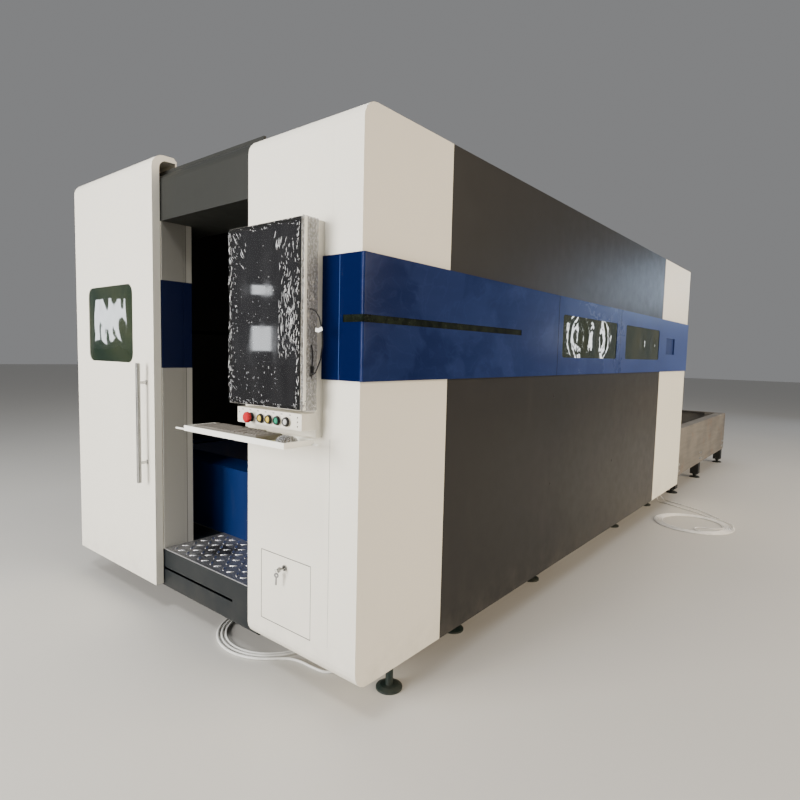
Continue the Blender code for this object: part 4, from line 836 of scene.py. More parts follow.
def settle(
    piece: bpy.types.Object, body: str = "machine", replaces: tuple[str, ...] = ()
) -> bpy.types.Object:
    """Ties a piece to its body and the CAD nodes that it stands for.

    Args:
        piece: The piece.
        body: The body that it rides on.
        replaces: CAD nodes that it stands for.

    Returns:
        The piece.
    """
    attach(piece, body)
    if replaces:
        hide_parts(*replaces)
    log.info("%s: %s on %s", piece.name, piece.type.lower(), body)
    return piece


# Studio


@dataclass(frozen=True)
class SoftLight:
    """A rectangular lamp that the camera doesn't see. Its power is in watts."""

    place: Place
    target: Place
    size: Pair
    power: float
    colour: Colour

    def build(self, name: str) -> None:
        """Makes the lamp.

        Args:
            name: Its name.
        """
        data = bpy.data.lights.new(name, "AREA")
        data.shape, data.energy, data.color = "RECTANGLE", self.power, self.colour
        data.size, data.size_y = self.size
        lamp = bpy.data.objects.new(name, data)
        lamp.visible_camera = False
        lamp.location = self.place
        lamp.rotation_mode = "QUATERNION"
        lamp.rotation_quaternion = (Vector(self.target) - lamp.location).to_track_quat("-Z", "Y")
        bpy.context.scene.collection.objects.link(lamp)


def lamps() -> dict[str, SoftLight]:
    """The studio's lamps by name: large soft ones, and small ones that the glass mirrors."""
    hall_target, hall_colour = (0.8, -3.7, 1.5), (0.94, 0.97, 1.0)
    return {
        "front_softbox": SoftLight((-1.4, -9.8, 2.2), (-0.2, -3.6, 1.0), (3.2, 4.0), 900, (1.0, 0.97, 0.93)),
        "right_softbox": SoftLight((9.0, 0.4, 3.4), (1.0, -0.6, 1.0), (7.6, 4.0), 860.0, (1.0, 0.82, 0.60)),
        "roof_light": SoftLight((0.0, 0.0, 8.0), (0.0, 0.0, 0.0), (9.0, 12.0), 380.0, (0.95, 0.98, 1.0)),
        "step_light": SoftLight((0.9, -6.1, 5.4), (0.0, -3.4, 0.4), (1.0, 1.0), 120.0, (1.0, 0.99, 0.97)),
        "far_window": SoftLight((4.0, 11.4, 3.35), (1.0, 1.0, 1.6), (1.3, 1.2), 60.0, (0.60, 0.76, 1.0)),
        "right_strip": SoftLight((3.3, 3.95, 1.72), (1.2, -1.6, 1.5), (0.30, 0.34), 3.4, (0.95, 0.98, 1.0)),
        "left_window": SoftLight((-7.9, -6.8, 1.9), (-0.7, -3.6, 1.5), (0.5, 0.9), 16.0, (0.92, 0.96, 1.0)),
        "hall_window_high": SoftLight((-6.33, -9.1, 2.53), hall_target, (0.36, 0.17), 2.4, hall_colour),
        "hall_window_low": SoftLight((-6.33, -9.1, 1.62), hall_target, (0.36, 0.46), 6.4, hall_colour),
    }


@dataclass
class Studio:
    """The camera at the photograph's angle, soft lights and a pale floor."""

    camera_place: Place = (2.520, -5.066, 1.390)
    right_way: Place = (0.77524, 0.63125, 0.02334)
    up_way: Place = (-0.06938, 0.04835, 0.99642)
    sensor_mm: float = 36.0
    lens_mm: float = 25.42
    sight: Pair = (0.05, 200.0)
    floor_size: float = 90.0
    world: Colour = (0.90, 0.91, 0.93)
    world_strength: float = 0.25
    lights: dict[str, SoftLight] = field(default_factory=lamps)

    def camera(self) -> None:
        """Makes the camera and turns it."""
        data = bpy.data.cameras.new("photo_camera")
        data.sensor_width, data.lens = self.sensor_mm, self.lens_mm
        data.clip_start, data.clip_end = self.sight
        camera = bpy.data.objects.new("photo_camera", data)
        bpy.context.scene.collection.objects.link(camera)
        right, up = Vector(self.right_way).normalized(), Vector(self.up_way)
        back = right.cross(up).normalized()
        turn = Matrix((right, back.cross(right), back)).transposed().to_4x4()
        camera.matrix_world = Matrix.Translation(Vector(self.camera_place)) @ turn
        bpy.context.scene.camera = camera

    def backdrop(self) -> None:
        """Makes the even world light."""
        world = bpy.data.worlds.new("studio_world")
        world.use_nodes = True
        background = world.node_tree.nodes["Background"]
        background.inputs["Color"].default_value = (*self.world, 1.0)
        background.inputs["Strength"].default_value = self.world_strength
        bpy.context.scene.world = world

    def floor(self) -> None:
        size = self.floor_size
        sheet = Shape().grid(1, 1, lambda across, up: Vector((across - 0.5, up - 0.5, 0.0)) * size)
        data = bpy.data.meshes.new("floor")
        sheet.mesh.to_mesh(data)
        sheet.mesh.free()
        data.materials.append(ConcreteFloor().make())
        piece = bpy.data.objects.new("floor", data)
        bpy.context.scene.collection.objects.link(piece)

    def build(self) -> None:
        """Makes the camera, the lights, the world and the floor."""
        self.camera()
        for name, light in self.lights.items():
            light.build(name)
        self.backdrop()
        self.floor()


@dataclass
class Assembly:
    """A sub-assembly, dressed with the machine's finishes."""

    coats: Coats


# Cords on the floor


class Cord:
    """A free cord as one curve through smoothed points, with a white sheath, and coiled on the floor."""

    def __init__(self, name: str, diameter: float, material: Material) -> None:
        """Keeps the cord's name, diameter and material."""
        self.name, self.diameter, self.material = name, diameter, material

    @staticmethod
    def smooth(knots: list[Vector], spacing: float) -> list[Vector]:
        """Points along a smooth curve through the knots, never below the lowest of them.

        Args:
            knots: The places that the cord passes.
            spacing: About how far the points lie apart.

        Returns:
            The points.
        """
        lowest = min(knot.z for knot in knots)
        ends = [2 * knots[0] - knots[1], *knots, 2 * knots[-1] - knots[-2]]
        points = []
        for p0, p1, p2, p3 in zip(ends, ends[1:], ends[2:], ends[3:]):
            steps = max(1, round((p2 - p1).length / spacing))
            for step in range(steps):
                t = step / steps
                spot = 2 * p1 + (p2 - p0) * t + (2 * p0 - 5 * p1 + 4 * p2 - p3) * t**2
                spot = (spot + (3 * p1 - p0 - 3 * p2 + p3) * t**3) / 2
                points.append(Vector((spot.x, spot.y, max(spot.z, lowest))))
        return [*points, knots[-1]]

    def build(self, points: list[Vector], replaces: tuple[str, ...]) -> None:
        """Args:
            points: Its centreline.
            replaces: The CAD nodes of its parts.
        """
        curve = bpy.data.curves.new(self.name, "CURVE")
        curve.dimensions = "3D"
        curve.bevel_depth = self.diameter / 2
        curve.bevel_resolution = 3
        curve.use_fill_caps = True
        spline = curve.splines.new("POLY")
        spline.points.add(len(points) - 1)
        for spot, point in zip(spline.points, points):
            spot.co = (*point, 1.0)
        spline.use_smooth = True
        curve.materials.append(self.material)
        piece = bpy.data.objects.new(self.name, curve)
        bpy.context.scene.collection.objects.link(piece)
        settle(piece, replaces=replaces)
        length = sum((b - a).length for a, b in zip(points, points[1:]))
        tuple(points[0])
        log.info("%s: %.2f m of %.0f mm", self.name, length, 1000 * self.diameter)


def eased(share: float) -> float:
    """A share from 0 to 1 that starts and ends gently."""
    return share * share * (3 - 2 * share)


@dataclass
class FloorCords(Assembly):
    """The front cable and the rear hose: each comes down from a gland, lies in a coil and goes back up.

    Spots are distances from the right side and the front face. Angles are in degrees.

    Attributes:
        cable_angles: Where the cable joins and leaves its coil's edge.
        cable_eases: The angles over which it gets to its winding and back.
        cable_crossing: Where each winding rides over the one below.
        hose_bend: The bend between the strands: angles, and depths in hose_reach.
        hose_bend_end: The angle where the second strand begins.
    """

    fit: float = 0.0003
    gland_tall: float = 0.020
    beam_low: float = 0.030
    knot_turn: float = 15.0
    cable: float = 0.013
    cable_spacing: float = 0.018
    cable_coil_centre: Pair = (0.830, 0.310)
    cable_coil_radius: float = 0.255
    cable_coil_band: float = 0.060
    cable_glands: Spots = ((0.450, 0.340), (0.300, 0.330))
    cable_angles: Pair = (22.5, -45.0)
    cable_turns: int = 2
    cable_pitch: float = 0.0185
    cable_eases: Pair = (55.0, 70.0)
    cable_crossing: float = 30.0
    cable_way_out: Spots = ((0.556, 0.164), (0.500, 0.180), (0.430, 0.184), (0.360, 0.196))
    hose: float = 0.008
    hose_spacing: float = 0.016
    hose_coil_centre: Pair = (-0.330, 3.830)
    hose_coil_radius: float = 0.270
    hose_coil_band: float = 0.090
    hose_glands: Pair = (4.450, 4.550)
    hose_from_side: float = 0.140
    hose_angles: Pair = (67.5, 45.0)
    hose_turns: float = 3.35
    hose_pitch: float = 0.0118
    hose_eases: Pair = (40.0, 46.0)
    hose_bend: Spots = ((-9.0, 0.25), (-15.0, 0.95), (-10.0, 1.75), (3.0, 2.05), (18.0, 1.80), (36.0, 1.0))
    hose_reach: float = 7.4 * 0.008
    hose_bend_end: float = 58.0
    hose_ways: tuple[Spots, Spots] = (
        ((-0.100, 4.325), (-0.270, 4.232)),
        ((-0.450, 4.180), (-0.290, 4.325), (-0.100, 4.440)),
    )

    def beside(
        self, centre: Pair, radius: float, turn_deg: float, height: float, along: float = 0.0
    ) -> Vector:
        """A point on the tangent that touches a coil's circle at an angle.

        Args:
            centre: The coil's centre.
            radius: The circle's radius.
            turn_deg: The touching point's angle.
            height: The height above the floor.
            along: The distance past the touching point.

        Returns:
            The point.
        """
        turn = radians(turn_deg)
        middle = DATUM.at(*centre, -DATUM.base)
        x = radius * cos(turn) - along * sin(turn)
        y = radius * sin(turn) + along * cos(turn)
        return middle + Vector((x, y, height))

    def coil_edge(self, radius: float, band: float, cord: float) -> float:
        """The radius of the circle that a cord follows just outside its coil."""
        return radius + band / 2 + cord / 2 + 2 * self.fit

    def front_cable(self) -> None:
        """The front cable: down, nearly three turns round, and back up to the second gland."""
        at, lying, down = DATUM.at, self.cable / 2 + self.fit, -self.gland_tall - self.fit
        flat, pitch, centre = lying - DATUM.base, self.cable_pitch, self.cable_coil_centre
        edge = self.coil_edge(self.cable_coil_radius, self.cable_coil_band, self.cable)
        inner = self.cable_coil_radius - pitch
        (x1, y1), (x2, y2) = self.cable_glands
        start, leave = self.cable_angles
        ease_in, ease_out = self.cable_eases
        knots = [
            at(x1, y1, down),
            at(x1, y1, down - 0.030),
            at(x1 + 0.012, y1 + 0.002, down - 0.070),
            at(x1 + 0.045, y1 + 0.006, flat + 0.010),
            at(x1 + 0.080, y1 + 0.022, flat),
            self.beside(centre, edge, start, lying, -0.030),
        ]
        sweep = 360.0 * self.cable_turns + (leave - start) % 360.0
        steps = round(sweep / self.knot_turn)
        for step in range(steps + 1):
            angle = sweep * step / steps
            turn = angle / 360.0
            settled = inner + pitch * max(0.0, turn - 0.15) * 1.05
            radius = edge + (settled - edge) * eased(min(1.0, angle / ease_in))
            radius += (edge - radius) * eased(max(0.0, 1.0 - (sweep - angle) / ease_out))
            away = (angle % 360.0 - self.cable_crossing + 180.0) % 360.0 - 180.0
            over = exp(-((away / 30.0) ** 2)) if turn > 0.5 else 0.0
            knots.append(self.beside(centre, radius, start + angle, lying + 1.08 * self.cable * over))
        knots += [
            self.beside(centre, edge, leave, lying, 0.030),
            *(at(x, y, flat) for x, y in self.cable_way_out),
            at(x2 + 0.012, 0.245, flat + 0.012),
            at(x2, y2 - 0.020, down - 0.060),
            at(x2, y2, down - 0.030),
            at(x2, y2, down),
        ]
        nodes = ("front_cable_drop", "front_cable_coil", "front_cable_run")
        cord = Cord("front_cable", self.cable, self.coats["cable_sheath"])
        cord.build(Cord.smooth(knots, self.cable_spacing), nodes)

    def hose_ring(self, clockwise: float, offset: float) -> float:
        """The radius of a strand that has gone so far clockwise, offset strands inside the outermost."""
        outer = self.hose_coil_radius + self.hose_coil_band / 2 - 0.4 * self.hose
        return outer - self.hose_pitch * (offset + 2 * clockwise / 360.0)

    def rear_hose(self) -> None:
        """The rear hose: two strands laid side by side in one coil, joined by a bend inside it."""
        at, lying = DATUM.at, self.hose / 2 + self.fit
        down, flat = self.beam_low - self.gland_tall - self.fit, lying - DATUM.base
        centre, x = self.hose_coil_centre, self.hose_from_side
        near, far = self.hose_glands
        edge = self.coil_edge(self.hose_coil_radius, self.hose_coil_band, self.hose)
        enter, leave = self.hose_angles
        ease_in, ease_out = self.hose_eases
        way_in, way_out = self.hose_ways
        knots = [
            at(x, near, down),
            at(x, near, down - 0.050),
            at(x - 0.015, near - 0.010, down - 0.115),
            at(x - 0.060, near - 0.035, flat),
            *(at(*spot, flat) for spot in way_in),
            self.beside(centre, edge, enter, lying, 0.060),
        ]
        sweep = 360.0 * self.hose_turns
        steps = round(sweep / self.knot_turn)
        for step in range(steps + 1):
            angle = sweep * step / steps
            radius = edge + (self.hose_ring(angle, 0.0) - edge) * eased(min(1.0, angle / ease_in))
            knots.append(self.beside(centre, radius, enter - angle, lying + self.lift(angle)))
        inner = self.hose_ring(sweep, 0.0)
        for turn, depth in self.hose_bend:
            knots.append(self.beside(centre, inner - depth * self.hose_reach, enter - sweep + turn, lying))
        begin = sweep - self.hose_bend_end
        for step in range(steps + 1):
            angle = begin - (begin - (enter - leave)) * step / steps
            radius = self.hose_ring(angle, 1.0)
            left = max(0.0, 1.0 - (angle - (enter - leave)) / ease_out)
            radius += (edge - radius) * eased(left)
            over = 1.15 * self.hose * sin(pi * left) ** 0.8 if 0 < left < 1 else 0.0
            knots.append(self.beside(centre, radius, enter - angle, lying + self.lift(angle) + over))
        knots += [
            self.beside(centre, edge, leave, lying, 0.050),
            *(at(*spot, flat) for spot in way_out),
            at(x - 0.075, far - 0.025, flat),
            at(x - 0.020, far - 0.006, down - 0.115),
            at(x, far, down - 0.050),
            at(x, far, down),
        ]
        nodes = ("rear_hose_drop", "rear_hose_coil", "rear_hose_return")
        cord = Cord("rear_hose", self.hose, self.coats["hose_sheath"])
        cord.build(Cord.smooth(knots, self.hose_spacing), nodes)

    def lift(self, angle: float) -> float:
        """How far a strand stands off the floor, here and there, by its own set."""
        return 0.0015 * max(0.0, sin(radians(1.7 * angle)))

    def build(self) -> None:
        """Makes both cords."""
        self.front_cable()
        self.rear_hose()


# Finishes on the carried-over nodes


@dataclass
class Finishes:
    """Every finish of the machine, and the nodes that carry it.

    Attributes:
        block_seams: The block's upright seams: each one's distance from the right side, and the heights
            above the lower edge between which it shows.
    """

    white: Colour = (0.80, 0.77, 0.68)
    grey: Colour = (0.021, 0.0205, 0.020)
    blue: Colour = (0.0002, 0.0045, 0.038)
    foot: Colour = (0.010, 0.020, 0.018)
    block_seams: tuple[Place, ...] = ((0.146, 0.12, 0.92), (0.115, 0.95, 1.10))

    def coats(self) -> Coats:
        """The enclosure's and the frames' painted finishes.

        Returns:
            The materials by name.
        """
        base, white, foot = DATUM.base, self.white, self.foot
        footed = {"band": foot, "band_low": -1.0}
        seams = tuple(
            (DATUM.right - across, base + low, base + high) for across, low, high in self.block_seams
        )
        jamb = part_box("left_front_cover")[1].x - 0.004
        joints = tuple(DATUM.front + seam for seam in SEAMS)
        coats = {
            "white": PowderCoat("white_coat", white, grime=0.30),
            "block": SeamedCoat("white_coat_with_seams", white, grime=0.30, seams=seams),
            # Painted shade on the jamb's inner face, darkest at the top.
            "jamb": JambCoat("white_coat_with_band_and_painted_shade", white, band=self.blue, face=jamb),
            "white_footed": BandedCoat(
                "white_coat_with_foot", white, grime=0.30, band_high=base - 0.002, **footed
            ),
            "riser_footed": BandedCoat(
                "riser_coat_with_foot", (0.0100, 0.0130, 0.0150), rough=0.42, gloss=0.22, scuff=0.06,
                grime=0.12, band_high=base - 0.027, **footed,
            ),
            "beam": BandedCoat(
                "bed_blue_with_feet", (0.003, 0.015, 0.075), rough=0.35, scuff=0.5,
                band_high=base + 0.058, **footed,
            ),
            "grey": PaleLowRearCoat(
                "grey_coat", self.grey, rough=0.36, gloss=0.16, grime_colour=(0.20, 0.18, 0.15)
            ),
            "header": PowderCoat("header_coat", (0.019, 0.020, 0.018), rough=0.50, gloss=0.20),
            # The band's haze colour is mostly a painted sheen on its side.
            "band": GlossBand("blue_gloss", self.blue, (0.058, 0.096, 0.290), joints),
            # The bed's front beam is painted lighter towards the left, as painted light.
            "bed_blue": PaintedLightCoat("bed_blue", (0.0005, 0.0034, 0.020), rough=0.60, gloss=0.10, scuff=0.3),
            # The same white paint, painted lighter on the rear side panels as painted light.
            "rear": PowderCoat("rear_white_coat_painted_lighter", (0.95, 0.91, 0.79), grime=0.30),
            "tray": PowderCoat("tray_coat", (0.93, 0.92, 0.84)),
            "foot": PowderCoat("foot_coat", foot, rough=0.45),
            "primer": Primer("taupe_primer", dark_below=base + 0.033),
            "slats": Primer("slat_steel", (0.16, 0.145, 0.125)),
        }
        return {name: finish.make() for name, finish in coats.items()}

    def fittings(self) -> Coats:
        """The finishes of sheets, metals, plastics, film and cords.

        Returns:
            The materials by name.
        """
        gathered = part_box("monitor")[1].x + 0.002
        fittings = {
            "pane": LaserSheet("laser_sheet"),
            "slit": LaserSheet(
                "slit_sheet", (0.0008, 0.0016, 0.001), (0.022, 0.030, 0.018), mottle=26.0, gloss=0.18
            ),
            "lock": BrushedMetal("worn_lock_metal", (0.36, 0.36, 0.36), 0.18, (60.0, 60.0, 60.0)),
            "bezel": Moulding("bezel_plastic", (0.002, 0.002, 0.002), 0.45, dust=0.0, gloss=0.06),
            "note": Moulding("yellow_pad", (0.72, 0.66, 0.30), 0.7, dust=0.3),
            "tread": TreadMetal("tread_metal"),
            "drops": BrushedMetal("worn_drop_metal", (0.90, 0.91, 0.93), 0.30, (90.0, 90.0, 90.0)),
            # White plastic for the painted highlights on the film's creases.
            "crease": Moulding("film_crease", (0.90, 0.91, 0.93), 0.10, dust=0.0),
            "steel": BrushedMetal("brushed_steel"),
            "screen": ScreenGlass("screen_glass"),
            "film": ClearFilm("clear_film", gathered, thick=0.70, tint=(0.72, 0.74, 0.77)),
            "mouse_film": ClearFilm("gathered_film", -10.0, thick=0.46, tint=(0.74, 0.75, 0.77)),
            "keyboard": Moulding("keyboard_plastic", (0.150, 0.140, 0.115), 0.50, gloss=0.3),
            "black": Moulding("black_plastic", (0.010, 0.010, 0.011), 0.34, dust=0.06, gloss=0.35),
            "keys": Moulding("key_plastic", (0.165, 0.150, 0.130), 0.55, gloss=0.3),
            "chain": BrushedMetal("oiled_chain", (0.16, 0.155, 0.15), 0.34, (120.0, 120.0, 120.0)),
            "chrome": BrushedMetal("chrome", (0.70, 0.70, 0.69), 0.12, (60.0, 60.0, 60.0)),
            "red": Moulding("red_plastic", (0.50, 0.012, 0.020), 0.22, dust=0.05),
            "yellow": Moulding("yellow_plastic", (0.72, 0.52, 0.06), 0.25, dust=0.05),
            "green": Moulding("green_plastic", (0.006, 0.28, 0.16), 0.22, dust=0.05),
            "clear": Moulding("clear_plastic", (0.60, 0.61, 0.59), 0.18, dust=0.05),
            "tag": Moulding("paper_tag", (0.80, 0.80, 0.77), 0.6),
            "cable_sheath": Sheath("cable_sheath"),
            "hose_sheath": Sheath("hose_sheath", (0.93, 0.92, 0.89), 0.32),
        }
        return {name: finish.make() for name, finish in fittings.items()}

    def build(self) -> Coats:
        """Makes the materials and puts them on the nodes.

        Returns:
            The materials by name.
        """
        made = {**self.coats(), **self.fittings()}
        nodes = {
            "white_footed": "corner_cover_right",
            "white": "corner_cover_left rear_cover door_panel hatch console_box monitor button_panel",
            "rear": "side_right_rear side_left_rear",
            "tray": "keyboard_tray",
            "block": "block_cover",
            "jamb": "left_front_cover",
            "grey": "side_right_mid_1 side_right_mid_2 side_right_mid_3 side_left_mid_1 side_left_mid_2 "
            "side_left_mid_3 roof gantry",
            "header": "header",
            "riser_footed": "riser",
            "band": "band_right band_left",
            "beam": "bed_beam_right bed_beam_left",
            "bed_blue": "bed_front_beam",
            "slit": "slit_pane_right slit_pane_left",
            "pane": "window_right_1 window_right_2 window_left_1 window_left_2 door_pane",
            "tread": "tread_plate",
            "steel": "door_handle door_roller_1 door_roller_2 hatch_key x_carriage cutting_head",
            "primer": "exchange_frame",
            "slats": "pallet_upper pallet_lower",
            "screen": "screen",
            "keyboard": "keyboard",
            "black": "mouse console_lead",
            "red": "estop",
            "yellow": "button_yellow_1 button_yellow_2",
            "green": "button_green",
            "clear": "button_clear",
        }
        for finish, names in nodes.items():
            for name in names.split():
                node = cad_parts[name]
                node.data.materials.clear()
                node.data.materials.append(made[finish])
        return made


# Front of the machine


def ripple(place: Vector, scale: float, seed: float = 0.0) -> float:
    """Smooth noise from about -1 to 1 at a place."""
    return noise.noise(place * scale + Vector((seed, 1.7 * seed, -seed)))


@dataclass
class SlidingDoor(Assembly):
    """The door's pillowed window, held flat round its lap, and its bar handle on two round standoffs."""

    bulge: float = 0.0046
    sheet: float = 0.004
    lap: float = 0.020
    ease: float = 0.07
    bar_edge: float = 0.0045
    posts: Pair = (0.1685, 0.8379)
    post: float = 0.0075
    flange: float = 0.013
    flange_thick: float = 0.002

    def window(self) -> None:
        """The window's sheet, pillowed in its opening and held flat round it."""
        low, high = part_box("door_pane")

        def place(across: float, up: float) -> Vector:
            """The sheet's place at shares of its width and height."""
            x, z = low.x + across * (high.x - low.x), low.z + up * (high.z - low.z)
            side = min(1.0, max(0.0, min(x - low.x, high.x - x) - self.lap) / self.ease)
            rise = min(1.0, max(0.0, min(z - low.z, high.z - z) - self.lap) / self.ease)
            uneven = 0.75 + 0.7 * ripple(Vector((x, 0.0, z)), 8.0, 3.0)
            swell = self.bulge * eased(side) * eased(rise) * uneven
            return Vector((x, low.y + self.sheet / 2 - swell, z))

        sheet, pane = Shape().grid(56, 48, place), self.coats["pane"]
        sheet.finish("door_window_sheet", pane, "laser_glass", "door", ("door_pane",), 60.0, self.sheet)

    def handle(self) -> None:
        """The handle: a square bar with rounded edges on two standoffs with round flanges."""
        low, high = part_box("door_handle")
        depth = high.x - low.x
        bar = Shape().block(low, (high.x, low.y + depth, high.z), self.bar_edge, 3)
        post, flange = self.post, self.flange
        for share in self.posts:
            z = low.z + share * (high.z - low.z)
            middle = Vector(((low.x + high.x) / 2, low.y + depth * 0.8, z))
            reach = high.y - middle.y
            neck = reach - self.flange_thick
            bar.turned(
                [(0, 0), (0, post), (neck, post), (neck, flange), (reach - 0.0005, flange),
                 (reach, flange - 0.0005), (reach, 0)],
                middle, Facing.REAR.value, 28,
            )
        bar.finish("door_bar_handle", self.coats["steel"], "steel", "door", ("door_handle",))

    def build(self) -> None:
        """Makes the door's pieces."""
        self.window()
        self.handle()


@dataclass
class SideWindows(Assembly):
    """The band's window sheets, dished into round lenses that throw bright rings.

    Attributes:
        dish: The depth of a dish of the full radius.
        lenses: For each window, its dishes' places along it from 0 to 1 and their radii in metres.
    """

    dish: float = 0.0080
    full: float = 0.125
    sheet: float = 0.004
    lenses: tuple[Spots, Spots] = (((0.27, 0.130), (0.66, 0.115)), ((0.48, 0.06), (0.80, 0.06)))

    def pane(self, window: str, lenses: Spots) -> None:
        """One window sheet.

        Args:
            window: The window's side and number.
            lenses: Its dishes.
        """
        node = f"window_{window}"
        low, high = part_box(node)
        hand = 1.0 if low.x > 0 else -1.0
        plane = (high.x if hand > 0 else low.x) - hand * self.sheet / 2

        def place(across: float, up: float) -> Vector:
            """The sheet's place at shares of its length and height."""
            spot = Vector((0.0, low.y + across * (high.y - low.y), low.z + up * (high.z - low.z)))
            depth = 0.0008 * (1 + ripple(spot, 14.0, 5.0)) + 0.0003 * ripple(spot, 60.0, 8.0)
            for share, radius in lenses:
                middle_y, middle_z = low.y + share * (high.y - low.y), (low.z + high.z) / 2
                away = hypot(spot.y - middle_y, spot.z - middle_z) / radius
                rings = exp(-(away**6)) * (0.80 + 0.20 * cos(5.0 * away))
                depth += self.dish * radius / self.full * rings
            return Vector((plane - hand * depth, spot.y, spot.z))

        sheet = Shape().grid(120, 36, place)
        if hand < 0:
            bmesh.ops.reverse_faces(sheet.mesh, faces=sheet.mesh.faces)
        name, pane = f"window_sheet_{window}", self.coats["pane"]
        sheet.finish(name, pane, "laser_glass", "machine", (node,), 60.0, self.sheet)

    def build(self) -> None:
        """Makes the four window sheets."""
        for side in ("right", "left"):
            for number, lenses in enumerate(self.lenses, 1):
                self.pane(f"{side}_{number}", lenses)


@dataclass
class PanelLocks(Assembly):
    """The small dark quarter-turn locks of the side panels: distance from the front face, and height."""

    radius: float = 0.009
    proud: float = 0.002
    rearward: float = 0.016
    places: Spots = ((1.610, 1.020), (1.610, 0.510), (2.653, 1.020), (2.653, 0.508))

    def build(self) -> None:
        """Makes the locks on both sides."""
        r, p = self.radius, self.proud
        dome = [
            (-0.002, 0), (-0.002, r), (0.3 * p, r), (p, 0.8 * r), (p, 0.35 * r), (0.4 * p, 0.30 * r),
            (0.4 * p, 0),
        ]
        for side, facing in (("right", Facing.RIGHT), ("left", Facing.LEFT)):
            locks = Shape()
            for along, up in self.places:
                spot = DATUM.at(0.0, along, up)
                spot = (facing.value[0] * spot.x, spot.y + self.rearward, spot.z)
                locks.turned(dome, spot, facing.value, 20)
            locks.finish(f"panel_locks_{side}", self.coats["black"], "black_plastic")


@dataclass
class HatchKeys(Assembly):
    """The cam lock's face, its key, the ring with the spare key, and the hatch's seal.

    Attributes:
        bow: A key bow's width, height and thickness.
        blade: A key blade's width and length.
        lean: The slant of the key in the lock.
    """

    face_radius: float = 0.0125
    ring_radius: float = 0.011
    ring_wire: float = 0.0008
    ring_steps: int = 28
    seal: float = 0.0028
    bow: Size = (0.022, 0.024, 0.0020)
    blade: Pair = (0.007, 0.030)
    lean: float = 0.12

    def key(self, shape: Shape, top: Vector, down: Vector, wide: Vector) -> None:
        """Adds a key: a round bow with its hole and a stepped blade.

        Args:
            shape: The shape that it goes into.
            top: The middle of the bow.
            down: The way that the blade points.
            wide: The way across the key.
        """
        width, tall, thick = self.bow
        made = Shape().turned(
            [(-thick / 2, 0.0035), (-thick / 2, width / 2), (thick / 2, width / 2), (thick / 2, 0.0035),
             (-thick / 2, 0.0035)],
            (0, 0, 0), (0, 1, 0), 24,
        )
        half, long = self.blade[0] / 2, self.blade[1]
        made.block((-half, -thick / 2, -tall / 2 - long), (half, thick / 2, -tall / 2 + 0.002), 0.0004, 1)
        for step in range(4):
            z = -tall / 2 - long + 0.003 + step * 0.006
            made.block((half - 0.0005, -thick / 3, z), (half + 0.0012, thick / 3, z + 0.003))
        turn = Matrix((wide, down.cross(wide), -down)).transposed().to_4x4()
        shape.add(made, Matrix.Translation(top) @ turn)

    def gap(self) -> None:
        """The dark seal in the gap round the hatch."""
        low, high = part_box("hatch")
        w, front = self.seal, DATUM.front
        hole = (low.x, low.z, high.x, high.z)
        seal = Shape().surround(hole, (w, 0.6 * w, w, w), front - 0.0004, front + 0.004)
        seal.finish("hatch_seal", self.coats["black"], "black_plastic")

    def build(self) -> None:
        """Makes the lock's face on the hatch, the seal, and the keys on the key's body."""
        low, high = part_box("hatch_key")
        hatch_low, hatch_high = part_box("hatch")
        spot = Vector(((hatch_low.x + hatch_high.x) / 2, hatch_low.y, (low.z + high.z) / 2))
        r, bore = self.face_radius, 0.0045
        Shape().turned(
            [(0.004, bore), (0.004, r), (0.0005, r), (-0.0012, r - 0.001), (-0.0012, 0.0078), (0.0, 0.0066),
             (0.0, bore), (0.004, bore)],
            spot, Facing.REAR.value, 32,
        ).finish("cam_lock_face", self.coats["lock"], "steel", "hatch")
        self.gap()
        keys = Shape()
        lean = Vector((0.0, -1.0, -self.lean)).normalized()
        top = Vector((spot.x, low.y + 0.006, spot.z))
        self.key(keys, top, -lean, Vector((0.0, -self.lean, 1.0)).normalized())
        hole = top + lean * 0.004
        middle = hole + Vector((-0.009, 0.0, -0.008))
        ring = [
            middle + Vector((cos(a), 0.25 * sin(2 * a), sin(a))) * self.ring_radius
            for a in (2 * pi * step / self.ring_steps for step in range(self.ring_steps))
        ]
        for here, there in zip(ring, ring[1:] + ring[:1]):
            keys.rod(here, there, self.ring_wire, 0.0002, 8)
        hang = middle + Vector((-0.006, 0.002, -0.018))
        down, wide = Vector((-0.10, 0.02, -1.0)), Vector((0.94, 0.33, -0.09))
        self.key(keys, hang, down.normalized(), wide.normalized())
        keys.finish("keys_on_ring", self.coats["lock"], "steel", "key")


@dataclass
class TreadDrops(Assembly):
    """The step's raised drops, in rows that turn by a right angle from one to the next."""

    pitch: float = 0.054
    long: float = 0.045
    wide: float = 0.0165
    tall: float = 0.0044
    margin: float = 0.014

    def build(self) -> None:
        """Makes the drops on the tread plate."""
        low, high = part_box("tread_plate")
        drops = Shape()
        columns = int((high.x - low.x - 2 * self.margin) / self.pitch)
        rows = int((high.y - low.y - 2 * self.margin) / self.pitch)
        x0 = (low.x + high.x - (columns - 1) * self.pitch) / 2
        y0 = (low.y + high.y - (rows - 1) * self.pitch) / 2
        for row in range(rows):
            for column in range(columns):
                made = bmesh.ops.create_icosphere(drops.mesh, subdivisions=2, radius=0.5)["verts"]
                quarter = radians(45.0 if (row + column) % 2 else -45.0)
                spot = Vector((x0 + column * self.pitch, y0 + row * self.pitch, high.z - 0.0002))
                turn = Matrix.Rotation(quarter, 3, "Z")
                for vert in made:
                    taper = 1.0 - 0.55 * max(0.0, vert.co.x * 2) ** 1.5
                    wide, tall = self.wide * taper, 2 * self.tall
                    size = Vector((vert.co.x * self.long, vert.co.y * wide, vert.co.z * tall))
                    vert.co = spot + turn @ size
        drops.finish("tread_drops", self.coats["drops"], "tread", sharp=80.0)


